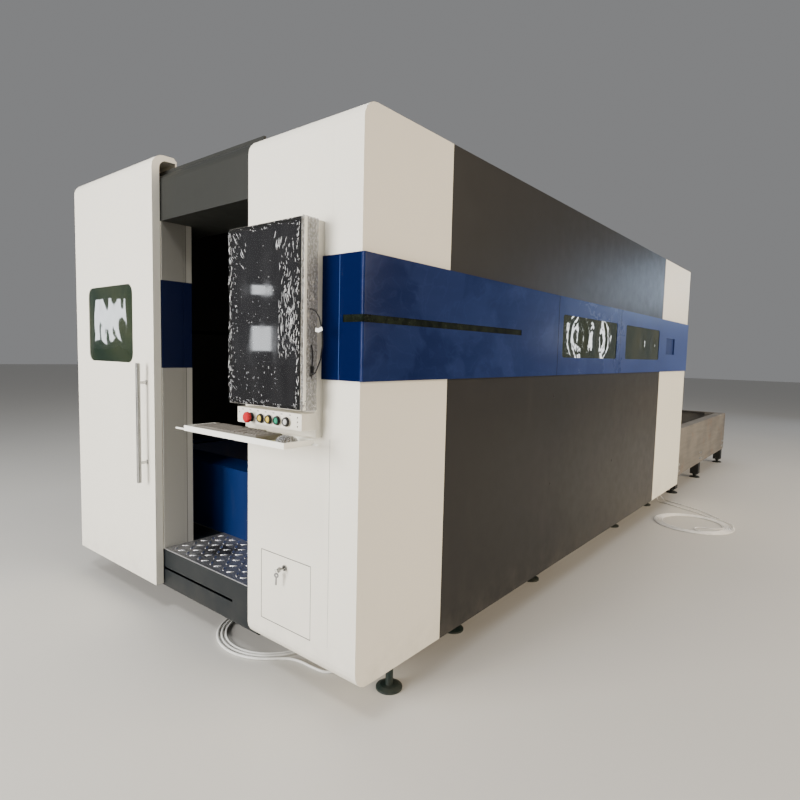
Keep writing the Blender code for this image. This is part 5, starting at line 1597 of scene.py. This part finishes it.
# Console


class FilmZone(Enum):
    """Where the film's painted crease highlights lie.

    Each gives its left, right, foot and head as shares of the monitor, its number of highlights, their lean
    and its spread in degrees, and its shortest and longest highlight.
    """

    LEFT_EDGE = (-0.005, 0.050, 0.02, 0.97, 110, 4.0, 22.0, 0.006, 0.030)
    LEFT_BELT = (0.06, 0.14, 0.05, 0.95, 45, 10.0, 30.0, 0.003, 0.014)
    TOP_LEFT = (0.03, 0.26, 0.78, 0.96, 16, 38.0, 10.0, 0.012, 0.052)
    FOLDS = (0.66, 0.80, 0.30, 0.93, 105, -9.0, 14.0, 0.007, 0.040)
    RIGHT_EDGE = (0.95, 0.99, 0.03, 0.97, 90, 0.0, 16.0, 0.005, 0.024)
    BOTTOM = (0.02, 0.98, 0.00, 0.035, 60, 60.0, 40.0, 0.003, 0.014)
    TOP = (0.06, 0.95, 0.965, 0.995, 26, 85.0, 15.0, 0.003, 0.012)
    LOW_BELT = (0.08, 0.72, 0.05, 0.22, 34, 20.0, 45.0, 0.003, 0.013)
    PLEATS = (0.72, 0.93, 0.28, 0.62, 90, 3.0, 6.0, 0.008, 0.045)
    HIGH_PLEATS = (0.80, 0.95, 0.62, 0.90, 28, -4.0, 9.0, 0.006, 0.024)
    DOTS = (0.12, 0.66, 0.20, 0.95, 44, 0.0, 60.0, 0.002, 0.006)


@dataclass
class Console(Assembly):
    """The monitor's glass front and wrapping film with painted highlights on its creases, the button panel's
    details and the leads.

    Attributes:
        slot_margins: The first slot's distance from the left, and both ends' room.
        short_lead: The short lead's distances outwards and above the long lead's foot.
    """

    film_gap: float = 0.004
    film_wrinkle: float = 0.0030
    film_cells: tuple[int, int] = (190, 230)
    bezel: float = 0.013
    side_crease_glints: int = 240
    panel_inset: float = 0.005
    slot_size: Pair = (0.011, 0.0028)
    slot_count: int = 7
    slot_down: float = 0.0095
    slot_margins: Pair = (0.030, 0.10)
    screw_radius: float = 0.0032
    button_hole: float = 0.0125
    short_lead: Spots = (
        (-0.0095, 0.115), (-0.003, 0.112), (0.003, 0.090), (0.004, 0.060), (0.002, 0.036), (0.002, 0.006),
        (-0.003, -0.006), (-0.0095, -0.010),
    )

    def glass(self) -> None:
        """The glass front, the dark bezel over its edges and the pale strip along the monitor's side."""
        low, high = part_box("monitor")
        inset, w, front = 0.0015, self.bezel, low.y
        pane = Shape().block(
            (low.x + inset, front - 0.0016, low.z + inset), (high.x - inset, front + 0.0004, high.z - inset),
            0.0006, 2,
        )
        pane.finish("monitor_glass", self.coats["screen"], "screen_glass", replaces=("screen",))
        rim = 0.001 + w
        hole = (low.x + rim, low.z + rim, high.x - rim, high.z - rim)
        bezel = Shape().surround(hole, (w, w, w, w), front - 0.0024, front - 0.0010)
        bezel.finish("monitor_bezel", self.coats["bezel"], "black_plastic")
        edge = high.x + self.film_gap + 0.0020
        trim = Shape().block((edge, low.y + 0.006, low.z), (edge + 0.0022, low.y + 0.019, high.z), 0.0008, 2)
        trim.finish("monitor_edge_strip", self.coats["tray"], "white_coat")

    def film(self) -> None:
        """The clear film wrapped round the monitor, gathered at its edges."""
        low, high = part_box("monitor")
        gap, wrinkle, corner = self.film_gap, self.film_wrinkle, 0.006
        depth = high.y - low.y
        left, right, face, bend = low.x - gap, high.x + gap, low.y - gap, low.y + corner
        runs = [
            Vector((x, y, 0.0))
            for x, y in (
                (left, high.y - 0.2 * depth), (left, bend), (left + corner, face),
                (right - corner, face), (right, bend), (right, high.y - 0.04 * depth),
            )
        ]
        ways = ((-1, 0), (-1, -0.3), (-0.3, -1), (0.3, -1), (1, -0.3), (1, 0))
        outward = [Vector((x, y, 0)) for x, y in ways]
        lengths = [(b - a).length for a, b in zip(runs, runs[1:])]
        total = sum(lengths)

        def place(across: float, up: float) -> Vector:
            """The film's place at shares of its run round the monitor and of its height."""
            way = across * total
            leg = 0
            while leg < len(lengths) - 1 and way > lengths[leg]:
                way -= lengths[leg]
                leg += 1
            share = min(1.0, way / lengths[leg])
            spot = runs[leg].lerp(runs[leg + 1], share)
            out = outward[leg].lerp(outward[leg + 1], share).normalized()
            z = low.z - 0.004 + up * (high.z - low.z + 0.008)
            edge = min(up, 1 - up) * (high.z - low.z)
            side = min(abs(spot.x - low.x), abs(high.x - spot.x))
            near = exp(-edge / 0.05) + exp(-side / 0.045)
            seat = Vector((spot.x, spot.y, z))
            slant = Vector((seat.x + seat.z * 0.35, seat.y, seat.z * 0.30))
            ridge = 1.0 - 2.2 * abs(ripple(slant, 55.0, 2.0))
            fine = 1.0 - 2.0 * abs(ripple(seat, 120.0, 7.0))
            swell = 0.5 + 0.5 * ripple(seat, 9.0, 4.0)
            height = wrinkle * (0.40 * swell + (0.22 + 0.55 * near) * ridge + (0.06 + 0.22 * near) * fine)
            tuck = -0.004 * exp(-edge / 0.006)
            return seat + out * (height + tuck)

        sheet = Shape().grid(*self.film_cells, place)
        sheet.finish("monitor_film", self.coats["film"], "clear_plastic", sharp=180.0)

    def creases(self) -> None:
        """White blobs that stand for the highlights on the film's creases, as painted highlights, close
        together at the edges and along the right side.
        """
        low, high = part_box("monitor")
        width, tall = high.x - low.x, high.z - low.z
        chance = Random(11)
        ridges = Shape()

        def ridge(spot: Vector, out: Vector, lean: float, long: float, wide: float) -> None:
            """Adds a crease's painted highlight at a spot on the face that points out."""
            across = out.cross(Vector((0.0, 0.0, 1.0))).normalized()
            way = (Vector((0.0, 0.0, 1.0)) * cos(lean) + across * sin(lean)).normalized()
            turn = Matrix((way, out.cross(way), out)).transposed()
            for vert in bmesh.ops.create_icosphere(ridges.mesh, subdivisions=1, radius=0.5)["verts"]:
                size = Vector((vert.co.x * long, vert.co.y * wide, vert.co.z * 0.0016))
                size.y += wide * 1.4 * sin(5.0 * vert.co.x + 40.0 * spot.z)
                vert.co = spot + turn @ size

        front, side = Vector(Facing.FRONT.value), Vector(Facing.RIGHT.value)
        for zone in FilmZone:
            left, right, foot, head, count, lean, spread, shortest, longest = zone.value
            for _ in range(count):
                across, up = chance.uniform(left, right), chance.uniform(foot, head)
                if zone is FilmZone.FOLDS:
                    across += 0.17 * sin(2.6 * up + 0.5) ** 2
                spot = Vector((low.x + across * width, low.y - self.film_gap - 0.0012, low.z + up * tall))
                long = shortest * (longest / shortest) ** chance.random()
                slope = radians(lean + chance.uniform(-spread, spread))
                ridge(spot, front, slope, long, chance.uniform(0.0006, 0.0015))
        for _ in range(self.side_crease_glints):
            y, z = chance.uniform(low.y, high.y - 0.006), chance.uniform(low.z + 0.01, high.z - 0.01)
            spot = Vector((high.x + self.film_gap + 0.001, y, z))
            slope, long = chance.uniform(-0.9, 0.9), chance.uniform(0.004, 0.016)
            ridge(spot, side, slope, long, chance.uniform(0.0008, 0.0022))
        # Painted highlights: white blobs along the film's creases, standing for their glints.
        ridges.finish("film_crease_glints", self.coats["crease"], "clear_plastic", sharp=50.0)

    def panel(self) -> None:
        """The slots and screws of the button panel, and the dark rings behind the buttons."""
        low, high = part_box("button_panel")
        face, slots = low.y + self.panel_inset, Shape()
        long, tall = self.slot_size
        first, both = self.slot_margins
        for number in range(self.slot_count):
            x = low.x + first + number * (high.x - low.x - both) / (self.slot_count - 1)
            z = high.z - self.slot_down
            slots.block((x, face - 0.0005, z), (x + long, face + 0.002, z + tall), 0.0004, 1)
        slots.finish("panel_slots", self.coats["black"], "black_plastic")
        screws = Shape()
        r, column = self.screw_radius, high.x - 0.022
        head = [
            (0.002, 0), (0.002, r), (-0.0006, r), (-0.0016, 0.6 * r), (-0.0016, 0.3 * r), (-0.0006, 0.25 * r),
            (-0.0006, 0),
        ]
        spots = [(column, z) for z in (high.z - 0.014, low.z + 0.014, (low.z + high.z) / 2)]
        for x, z in [*spots, (low.x + 0.012, high.z - 0.020)]:
            screws.turned(head, (x, face, z), Facing.REAR.value, 16)
        screws.finish("panel_screws", self.coats["chrome"], "steel")
        rings, hole = Shape(), self.button_hole
        for node in ("button_yellow_1", "button_yellow_2", "button_green", "button_clear", "estop"):
            a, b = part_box(node)
            middle = Vector(((a.x + b.x) / 2, face - 0.0052, (a.z + b.z) / 2))
            reach = 0.0075 if node == "estop" else 0.0085
            ring = [
                (0.0, hole), (0.0, 0.0185), (-0.0022, 0.0180), (-reach, 0.0155), (-reach, hole), (0.0, hole),
            ]
            rings.turned(ring, middle, Facing.REAR.value, 32)
        rings.finish("button_rings", self.coats["black"], "black_plastic")

    def lead(self) -> None:
        """The tag on the lead, and the short second lead with its ferrite behind the monitor's edge."""
        low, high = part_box("console_lead")
        tag = Shape()
        spot = Vector((high.x - 0.004, low.y + 0.006, low.z + 0.68 * (high.z - low.z)))
        for number, (across, up, turn) in enumerate(((-0.012, 0.0, 0.2), (0.006, 0.002, -0.35))):
            strip = Shape().block((-0.011, -0.0006, -0.007), (0.011, 0.0006, 0.007), 0.0004, 1)
            place = Matrix.Translation(spot + Vector((across, -0.004 * number, up)))
            tag.add(strip, place @ Matrix.Rotation(turn, 4, "Y"))
        tag.finish("lead_tag", self.coats["tag"], "white_coat")
        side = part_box("monitor")[1]
        x, y = side.x + 0.0085, side.y - 0.030
        ferrite = Shape().turned(
            [(0, 0), (0, 0.0045), (0.001, 0.0062), (0.024, 0.0062), (0.025, 0.0045), (0.025, 0)],
            (x + 0.002, y, low.z + 0.012), Facing.UP.value, 20,
        )
        knots = [Vector((x + out, y, low.z + up)) for out, up in self.short_lead]
        points = Cord.smooth(knots, 0.006)
        for here, there in zip(points, points[1:]):
            ferrite.rod(here, there, 0.0021, 0.0003, 10)
        ferrite.finish("short_lead", self.coats["black"], "black_plastic")

    def build(self) -> None:
        """Makes the console's pieces."""
        self.glass()
        self.film()
        self.creases()
        self.panel()
        self.lead()


@dataclass
class Keyboard(Assembly):
    """A full keyboard: a bevelled case and rows of keys, whose widths are in units with gaps below zero."""

    rows: tuple[Row, ...] = (
        (1, -1, 1, 1, 1, 1, -0.5, 1, 1, 1, 1, -0.5, 1, 1, 1, 1, -0.25, 1, 1, 1),
        (1,) * 13 + (2, -0.25, 1, 1, 1, -0.25, 1, 1, 1, 1),
        (1.5,) + (1,) * 12 + (1.5, -0.25, 1, 1, 1, -0.25, 1, 1, 1, 1),
        (1.75,) + (1,) * 11 + (2.25, -3.5, 1, 1, 1, 1),
        (2.25,) + (1,) * 10 + (2.75, -1.25, 1, -1.25, 1, 1, 1, 1),
        (1.25, 1.25, 1.25, 6.25, 1.25, 1.25, 1.25, 1.25, -0.25, 1, 1, 1, -0.25, 2, 1, 1),
    )
    units: float = 22.5
    margin: float = 0.006
    gap: float = 0.0016
    key_tall: float = 0.0050

    def build(self) -> None:
        """Makes the case and the keys in the CAD slab's place."""
        low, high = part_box("keyboard")
        deck = high.z - self.key_tall
        case = Shape().block(low, (high.x, high.y, deck), 0.0025, 2)
        lip = 0.003
        case.block(
            (low.x + lip, low.y + lip, deck - 0.002), (high.x - lip, high.y - lip, deck + 0.0012), 0.0008, 1
        )
        case.finish("keyboard_case", self.coats["keyboard"], "keyboard_plastic")
        unit = (high.x - low.x - 2 * self.margin) / self.units
        depth = (high.y - low.y - 2 * self.margin) / (len(self.rows) + 0.3)
        keys = Shape()
        for number, row in enumerate(self.rows):
            back = high.y - self.margin - depth * (number + (0.3 if number else 0.0))
            x = low.x + self.margin
            for width in row:
                if width > 0:
                    middle = Vector((x + width * unit / 2, back - depth / 2, deck))
                    half = Vector((width * unit / 2 - self.gap / 2, depth / 2 - self.gap / 2, 0.0))
                    key = Shape().block(-half, half + Vector((0.0, 0.0, self.key_tall)), 0.0008, 1)
                    for vert in key.mesh.verts:
                        if vert.co.z > self.key_tall * 0.6:
                            vert.co.x -= copysign(0.0014, vert.co.x)
                            vert.co.y *= 0.86
                    keys.add(key, Matrix.Translation(middle))
                x += abs(width) * unit
        keys.finish("keyboard_keys", self.coats["keys"], "keyboard_plastic", replaces=("keyboard",))


@dataclass
class Mouse(Assembly):
    """The mouse in its crumpled film."""

    crumple: float = 0.0032

    def build(self) -> None:
        """Makes the mouse and the film round it."""
        low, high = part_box("mouse")
        middle, size = (low + high) / 2, high - low
        body, film = Shape(), Shape()
        for shape, grow, rough in ((body, 0.90, 0.0), (film, 1.0, self.crumple)):
            made = bmesh.ops.create_icosphere(shape.mesh, subdivisions=4 if rough else 3, radius=0.5)["verts"]
            for vert in made:
                way = vert.co.normalized()
                up = max(0.0, vert.co.z * 2)
                vert.co = Vector((
                    vert.co.x * size.x * grow * (1.0 - 0.12 * vert.co.y),
                    vert.co.y * size.y * grow,
                    up**0.8 * size.z * grow * (1.0 - 0.25 * vert.co.y),
                ))
                if rough:
                    ridge = abs(ripple(vert.co, 95.0, 1.0)) + 0.6 * abs(ripple(vert.co, 210.0, 9.0))
                    vert.co += way * rough * (ridge - 0.45)
                    vert.co.z = max(0.0, vert.co.z)
            bmesh.ops.translate(shape.mesh, vec=(middle.x, middle.y, low.z), verts=made)
        body.finish("mouse_body", self.coats["black"], "black_plastic", replaces=("mouse",))
        film.finish("mouse_film", self.coats["mouse_film"], "clear_plastic", sharp=25.0)


@dataclass
class StepTrim(Assembly):
    """A black sheet behind the step, below the bed's front beam, that stands in for the shade there, and the
    yellow pad on the tray.
    """

    shade_sheet_low: float = 0.17
    shade_sheet_thick: float = 0.003
    pad_thick: float = 0.0010

    def build(self) -> None:
        """Makes the black sheet of painted shade and the pad."""
        low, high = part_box("bed_front_beam")
        back, foot, thick = high.y - 0.020, self.shade_sheet_low, self.shade_sheet_thick
        left, right = low.x + 0.02, high.x - 0.02
        # Painted shade: a black sheet and floor flap that hide the lit floor under the bed's front beam.
        shade_sheet = Shape().block((left, back, foot), (right, back + thick, low.z + 0.010), 0.0008, 1)
        shade_sheet.block((left, back - 0.018, foot), (right, back, foot + thick), 0.0008, 1)
        shade_sheet.finish("bed_shade_sheet", self.coats["black"], "black_plastic")
        keys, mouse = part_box("keyboard"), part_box("mouse")
        Shape().block(
            (keys[1].x + 0.006, mouse[0].y - 0.006, mouse[0].z - 0.0002),
            (mouse[1].x + 0.040, mouse[1].y - 0.004, mouse[0].z + self.pad_thick), 0.0004, 1,
        ).finish("tray_pad", self.coats["note"], "white_coat")


# Roof, rear cover, pallet changer and feet


@dataclass
class RoofTrim(Assembly):
    """Cover strips over the roof's joints, their button screws, and the four lifting eyes.

    Attributes:
        strip: A strip's width and thickness.
        eye: A lifting eye's radius and its wire's radius.
    """

    joints: Row = (*SEAMS, 3.790)
    strip: Pair = (0.045, 0.0022)
    screw: float = 0.0065
    screw_count: int = 9
    screw_margin: float = 0.05
    eye: Pair = (0.021, 0.0055)

    def build(self) -> None:
        """Makes the strips, the screws and the eyes."""
        low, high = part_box("roof")
        wide, thick = self.strip
        strips, screws, eyes = Shape(), Shape(), Shape()
        top, r, margin = high.z + thick, self.screw, self.screw_margin
        head = [
            (-0.0004, r), (0.0012, r), (0.0030, 0.6 * r), (0.0030, 0.35 * r), (0.0016, 0.3 * r), (0.0016, 0),
        ]
        pitch = (high.x - low.x - 2 * margin) / (self.screw_count - 1)
        for along in self.joints:
            y = DATUM.front + along
            corner = (high.x - 0.01, y + wide / 2, top)
            strips.block((low.x + 0.01, y - wide / 2, high.z - 0.0004), corner, 0.0008, 1)
            for number in range(self.screw_count):
                screws.turned(head, (low.x + margin + number * pitch, y, top), Facing.UP.value, 10)
        radius, wire = self.eye
        for x in (low.x + 0.16, high.x - 0.16):
            for y in (low.y + 0.34, high.y - 0.20):
                spot = Vector((x, y, high.z))
                eyes.turned(
                    [(-0.0004, 0), (-0.0004, 0.019), (0.005, 0.019), (0.007, 0.016), (0.010, 0.010),
                     (0.016, 0.0085), (0.016, 0)],
                    spot, Facing.UP.value, 20,
                )
                turns = [2 * pi * step / 10 for step in range(11)]
                ring = [(wire * sin(a), radius + wire * cos(a)) for a in turns]
                eyes.turned(ring, spot + Vector((0.0, 0.0, 0.014 + radius)), Facing.REAR.value, 24)
        strips.finish("roof_strips", self.coats["grey"], "grey_coat")
        screws.finish("roof_screws", self.coats["steel"], "steel")
        eyes.finish("lifting_eyes", self.coats["steel"], "steel")


@dataclass
class RearTrim(Assembly):
    """The rear cover's louvres and screws, and the rubber edge round its opening.

    Attributes:
        opening: The opening's half width and its top.
        edge: The rubber edge's width and depth.
        louvre: A louvre's length, height and reach.
    """

    opening: Pair = (0.95, 0.87)
    edge: Pair = (0.014, 0.006)
    louvre: Size = (0.36, 0.020, 0.008)
    columns: Row = (-0.62, 0.62)
    rows: int = 9
    row_pitch: float = 0.034
    first_down: float = 0.16
    side_screws: Row = (0.30, 0.62, 0.94, 1.26, 1.58, 1.90, 2.20)
    cross_screws: Row = (-0.84, -0.56, -0.28, 0.0, 0.28, 0.56, 0.84)
    cross_heights: Pair = (2.20, 0.93)

    def build(self) -> None:
        """Makes the louvres, the screws and the edge."""
        low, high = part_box("rear_cover")
        face = high.y
        half, sill = self.opening
        wide, proud = self.edge
        rim = Shape()
        for hand in (-1, 1):
            inner, outer = sorted((hand * half, hand * (half + wide)))
            rim.block((inner, face - 0.0004, low.z + 0.01), (outer, face + proud, sill + wide), 0.0018, 2)
        rim.block((-half, face - 0.0004, sill), (half, face + proud, sill + wide), 0.0018, 2)
        rim.finish("opening_edge", self.coats["black"], "black_plastic")
        long, tall, reach = self.louvre
        hoods, slots = Shape(), Shape()
        for middle in self.columns:
            for row in range(self.rows):
                z = high.z - self.first_down - row * self.row_pitch
                hood = Shape().block((-long / 2, 0.0, 0.0), (long / 2, reach, tall), 0.0012, 2)
                for vert in hood.mesh.verts:
                    slope = 1.0 - 0.92 * vert.co.z / tall
                    side = min(1.0, (long / 2 - abs(vert.co.x)) / 0.004 + 0.55)
                    vert.co.y *= slope * side
                hoods.add(hood, Matrix.Translation((middle, face - 0.0003, z)))
                left, right = middle - long / 2 + 0.004, middle + long / 2 - 0.004
                slots.block((left, face - 0.001, z - 0.0035), (right, face + 0.0008, z + 0.0005))
        hoods.finish("rear_louvres", self.coats["white"], "white_coat")
        slots.finish("louvre_slots", self.coats["black"], "black_plastic")
        screws = Shape()
        places = [(x, z) for x in (low.x + 0.03, high.x - 0.03) for z in self.side_screws]
        places += [(x, z) for z in self.cross_heights for x in self.cross_screws]
        head = [
            (-0.0004, 0.007), (0.0012, 0.007), (0.0032, 0.0042), (0.0032, 0.0026), (0.0016, 0.0022),
            (0.0016, 0),
        ]
        for x, z in places:
            screws.turned(head, (x, face, z), Facing.REAR.value, 12)
        screws.finish("rear_screws", self.coats["steel"], "steel")


@dataclass
class TableTrim(Assembly):
    """The exchange frame's bolts, weld beads, roller chains and sprockets.

    Attributes:
        outer: The frame's outer face.
        web: Its side's inner face.
        link: A link's length, thickness and height.
    """

    outer: float = 1.11
    web: float = 1.102
    bolt_shift: float = 0.030
    bolt_heights: Row = (0.235, 0.300)
    end_heights: Row = (0.30, 0.43, 0.56)
    bead_count: int = 58
    bead_pitch: float = 0.0080
    bead_low: float = 0.205
    bead_radius: float = 0.0052
    chain: float = 0.975
    chain_ends: Pair = (1.190, 3.640)
    chain_height: float = 0.585
    sprocket: float = 0.030
    link: Size = (0.0165, 0.0070, 0.0120)
    teeth: int = 12

    def bolts(self) -> None:
        """Hexagon heads on washers beside each leg and at the end wall's corners."""
        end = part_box("exchange_frame")[1].y
        heads = Shape()
        head = [
            (-0.0004, 0), (-0.0004, 0.0155), (0.0016, 0.0155), (0.0016, 0.0112), (0.0084, 0.0112),
            (0.0094, 0.0100), (0.0094, 0),
        ]
        for hand, facing in ((1, Facing.RIGHT), (-1, Facing.LEFT)):
            for along in TABLE_LEGS:
                for shift in (-self.bolt_shift, self.bolt_shift):
                    y = min(DATUM.front + along + shift, end - 0.03)
                    for z in self.bolt_heights:
                        heads.turned(head, (hand * self.outer, y, z), facing.value, 6)
            for z in self.end_heights:
                heads.turned(head, (hand * (self.outer - 0.05), end, z), Facing.REAR.value, 6)
        heads.finish("table_bolts", self.coats["steel"], "steel")

    def welds(self) -> None:
        """A bead of overlapping ripples up each rear corner."""
        end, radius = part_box("exchange_frame")[1].y, self.bead_radius
        beads = Shape()
        for hand in (-1, 1):
            for number in range(self.bead_count):
                z = self.bead_low + number * self.bead_pitch
                uneven = 0.001 * ripple(Vector((hand, z, 0)), 90.0)
                made = bmesh.ops.create_uvsphere(beads.mesh, u_segments=6, v_segments=4, radius=radius)
                spot = Vector((hand * (self.outer - 0.001), end - 0.001, z + uneven))
                bmesh.ops.translate(beads.mesh, vec=spot, verts=made["verts"])
        beads.finish("weld_beads", self.coats["primer"], "frame_steel", sharp=70.0)

    def drive(self) -> None:
        """Both chains, with a sprocket and its stub shaft at each end."""
        start, end = self.chain_ends
        long, thin, tall = self.link
        r = self.sprocket
        for side, hand in (("right", 1), ("left", -1)):
            links, wheels = Shape(), Shape()
            x = hand * self.chain
            steps = int((end - start) / (long * 0.96))
            for level in (self.chain_height + r, self.chain_height - r):
                for number in range(steps + 1):
                    y = start + (end - start) * number / steps
                    wide = thin if number % 2 else thin * 1.7
                    sag = -0.004 * sin(pi * number / steps) if level < self.chain_height else 0.0
                    low = Vector((x - wide / 2, y - long / 2, level - tall / 2 + sag))
                    links.block(low, low + Vector((wide, long, tall)))
            for y in self.chain_ends:
                for number in range(1, 8):
                    turn = pi * number / 8 * (1 if y == end else -1)
                    link = Shape().block((-thin / 2, -long / 2, -tall / 2), (thin / 2, long / 2, tall / 2))
                    spot = Vector((x, y + r * sin(turn), self.chain_height + r * cos(turn)))
                    links.add(link, Matrix.Translation(spot) @ Matrix.Rotation(-turn, 4, "X"))
                facing = Facing.RIGHT if hand > 0 else Facing.LEFT
                hub, shaft, reach = 0.017, 0.0115, self.web - self.chain
                wheels.turned(
                    [(-0.004, 0), (-0.004, r - 0.004), (0.004, r - 0.004), (0.004, hub), (0.016, hub),
                     (0.016, shaft), (reach, shaft), (reach, 0)],
                    (x, y, self.chain_height), facing.value, 28,
                )
                for number in range(self.teeth):
                    tooth = Shape().block((-0.0025, -0.004, r - 0.007), (0.0025, 0.004, r + 0.004))
                    for vert in tooth.mesh.verts:
                        if vert.co.z > r:
                            vert.co.y *= 0.35
                    turn = Matrix.Rotation(2 * pi * (number + 0.5) / self.teeth, 4, "X")
                    wheels.add(tooth, Matrix.Translation((x, y, self.chain_height)) @ turn)
            links.finish(f"roller_chain_{side}", self.coats["chain"], "steel")
            wheels.finish(f"chain_sprockets_{side}", self.coats["steel"], "steel")

    def build(self) -> None:
        """Makes the table's details."""
        self.bolts()
        self.welds()
        self.drive()


@dataclass
class FootNuts(Assembly):
    """The lock nuts and rubber rims of the levelling feet."""

    nut_radius: float = 0.026
    nut_tall: float = 0.016
    beam_feet: Row = (0.900, 1.770, 3.280, 4.200)
    beam_from_middle: float = 1.000
    front_foot: float = 0.300
    front_inset: float = 0.085
    table_inset: float = 0.105
    table_top: float = 0.046
    pad_radius: float = 0.055
    stem_radius: float = 0.016

    def build(self) -> None:
        """Makes the nuts, and a rim round each pad."""
        feet = [(DATUM.right - self.front_inset, self.front_foot, DATUM.base - 0.004)]
        feet += [(self.beam_from_middle, place, DATUM.base + 0.030) for place in self.beam_feet]
        feet += [(DATUM.right - self.table_inset, place, self.table_top) for place in TABLE_LEGS]
        r, stem, nut, chamfer = self.pad_radius + 0.0006, self.stem_radius, self.nut_radius, 0.002
        rim = [(0.0, r - 0.004), (0.0, r), (0.0085, r), (0.0105, r - 0.0035), (0.0105, r - 0.006)]
        parts = Shape()
        for x, along, high in feet:
            top = high - 0.0006
            foot = top - self.nut_tall
            body = [
                (foot, stem), (foot, nut - chamfer), (foot + chamfer, nut), (top - chamfer, nut),
                (top, nut - chamfer), (top, stem), (foot, stem),
            ]
            for hand in (1, -1):
                spot = Vector((hand * x, DATUM.front + along, 0.0))
                parts.turned(rim, spot, Facing.UP.value, 28)
                parts.turned(body, spot, Facing.UP.value, 6)
        parts.finish("foot_nuts", self.coats["foot"], "bed_blue")


def main() -> None:
    """Builds every sub-assembly in order."""
    logging.basicConfig(level=logging.INFO, format="%(name)s: %(message)s")
    Studio().build()
    finishes = Finishes().build()
    for assembly in (FloorCords, SlidingDoor, SideWindows, PanelLocks, HatchKeys, TreadDrops, Console,
                     Keyboard, Mouse, StepTrim, RoofTrim, RearTrim, TableTrim, FootNuts):
        assembly(finishes).build()


if __name__ == "__main__":
    main()
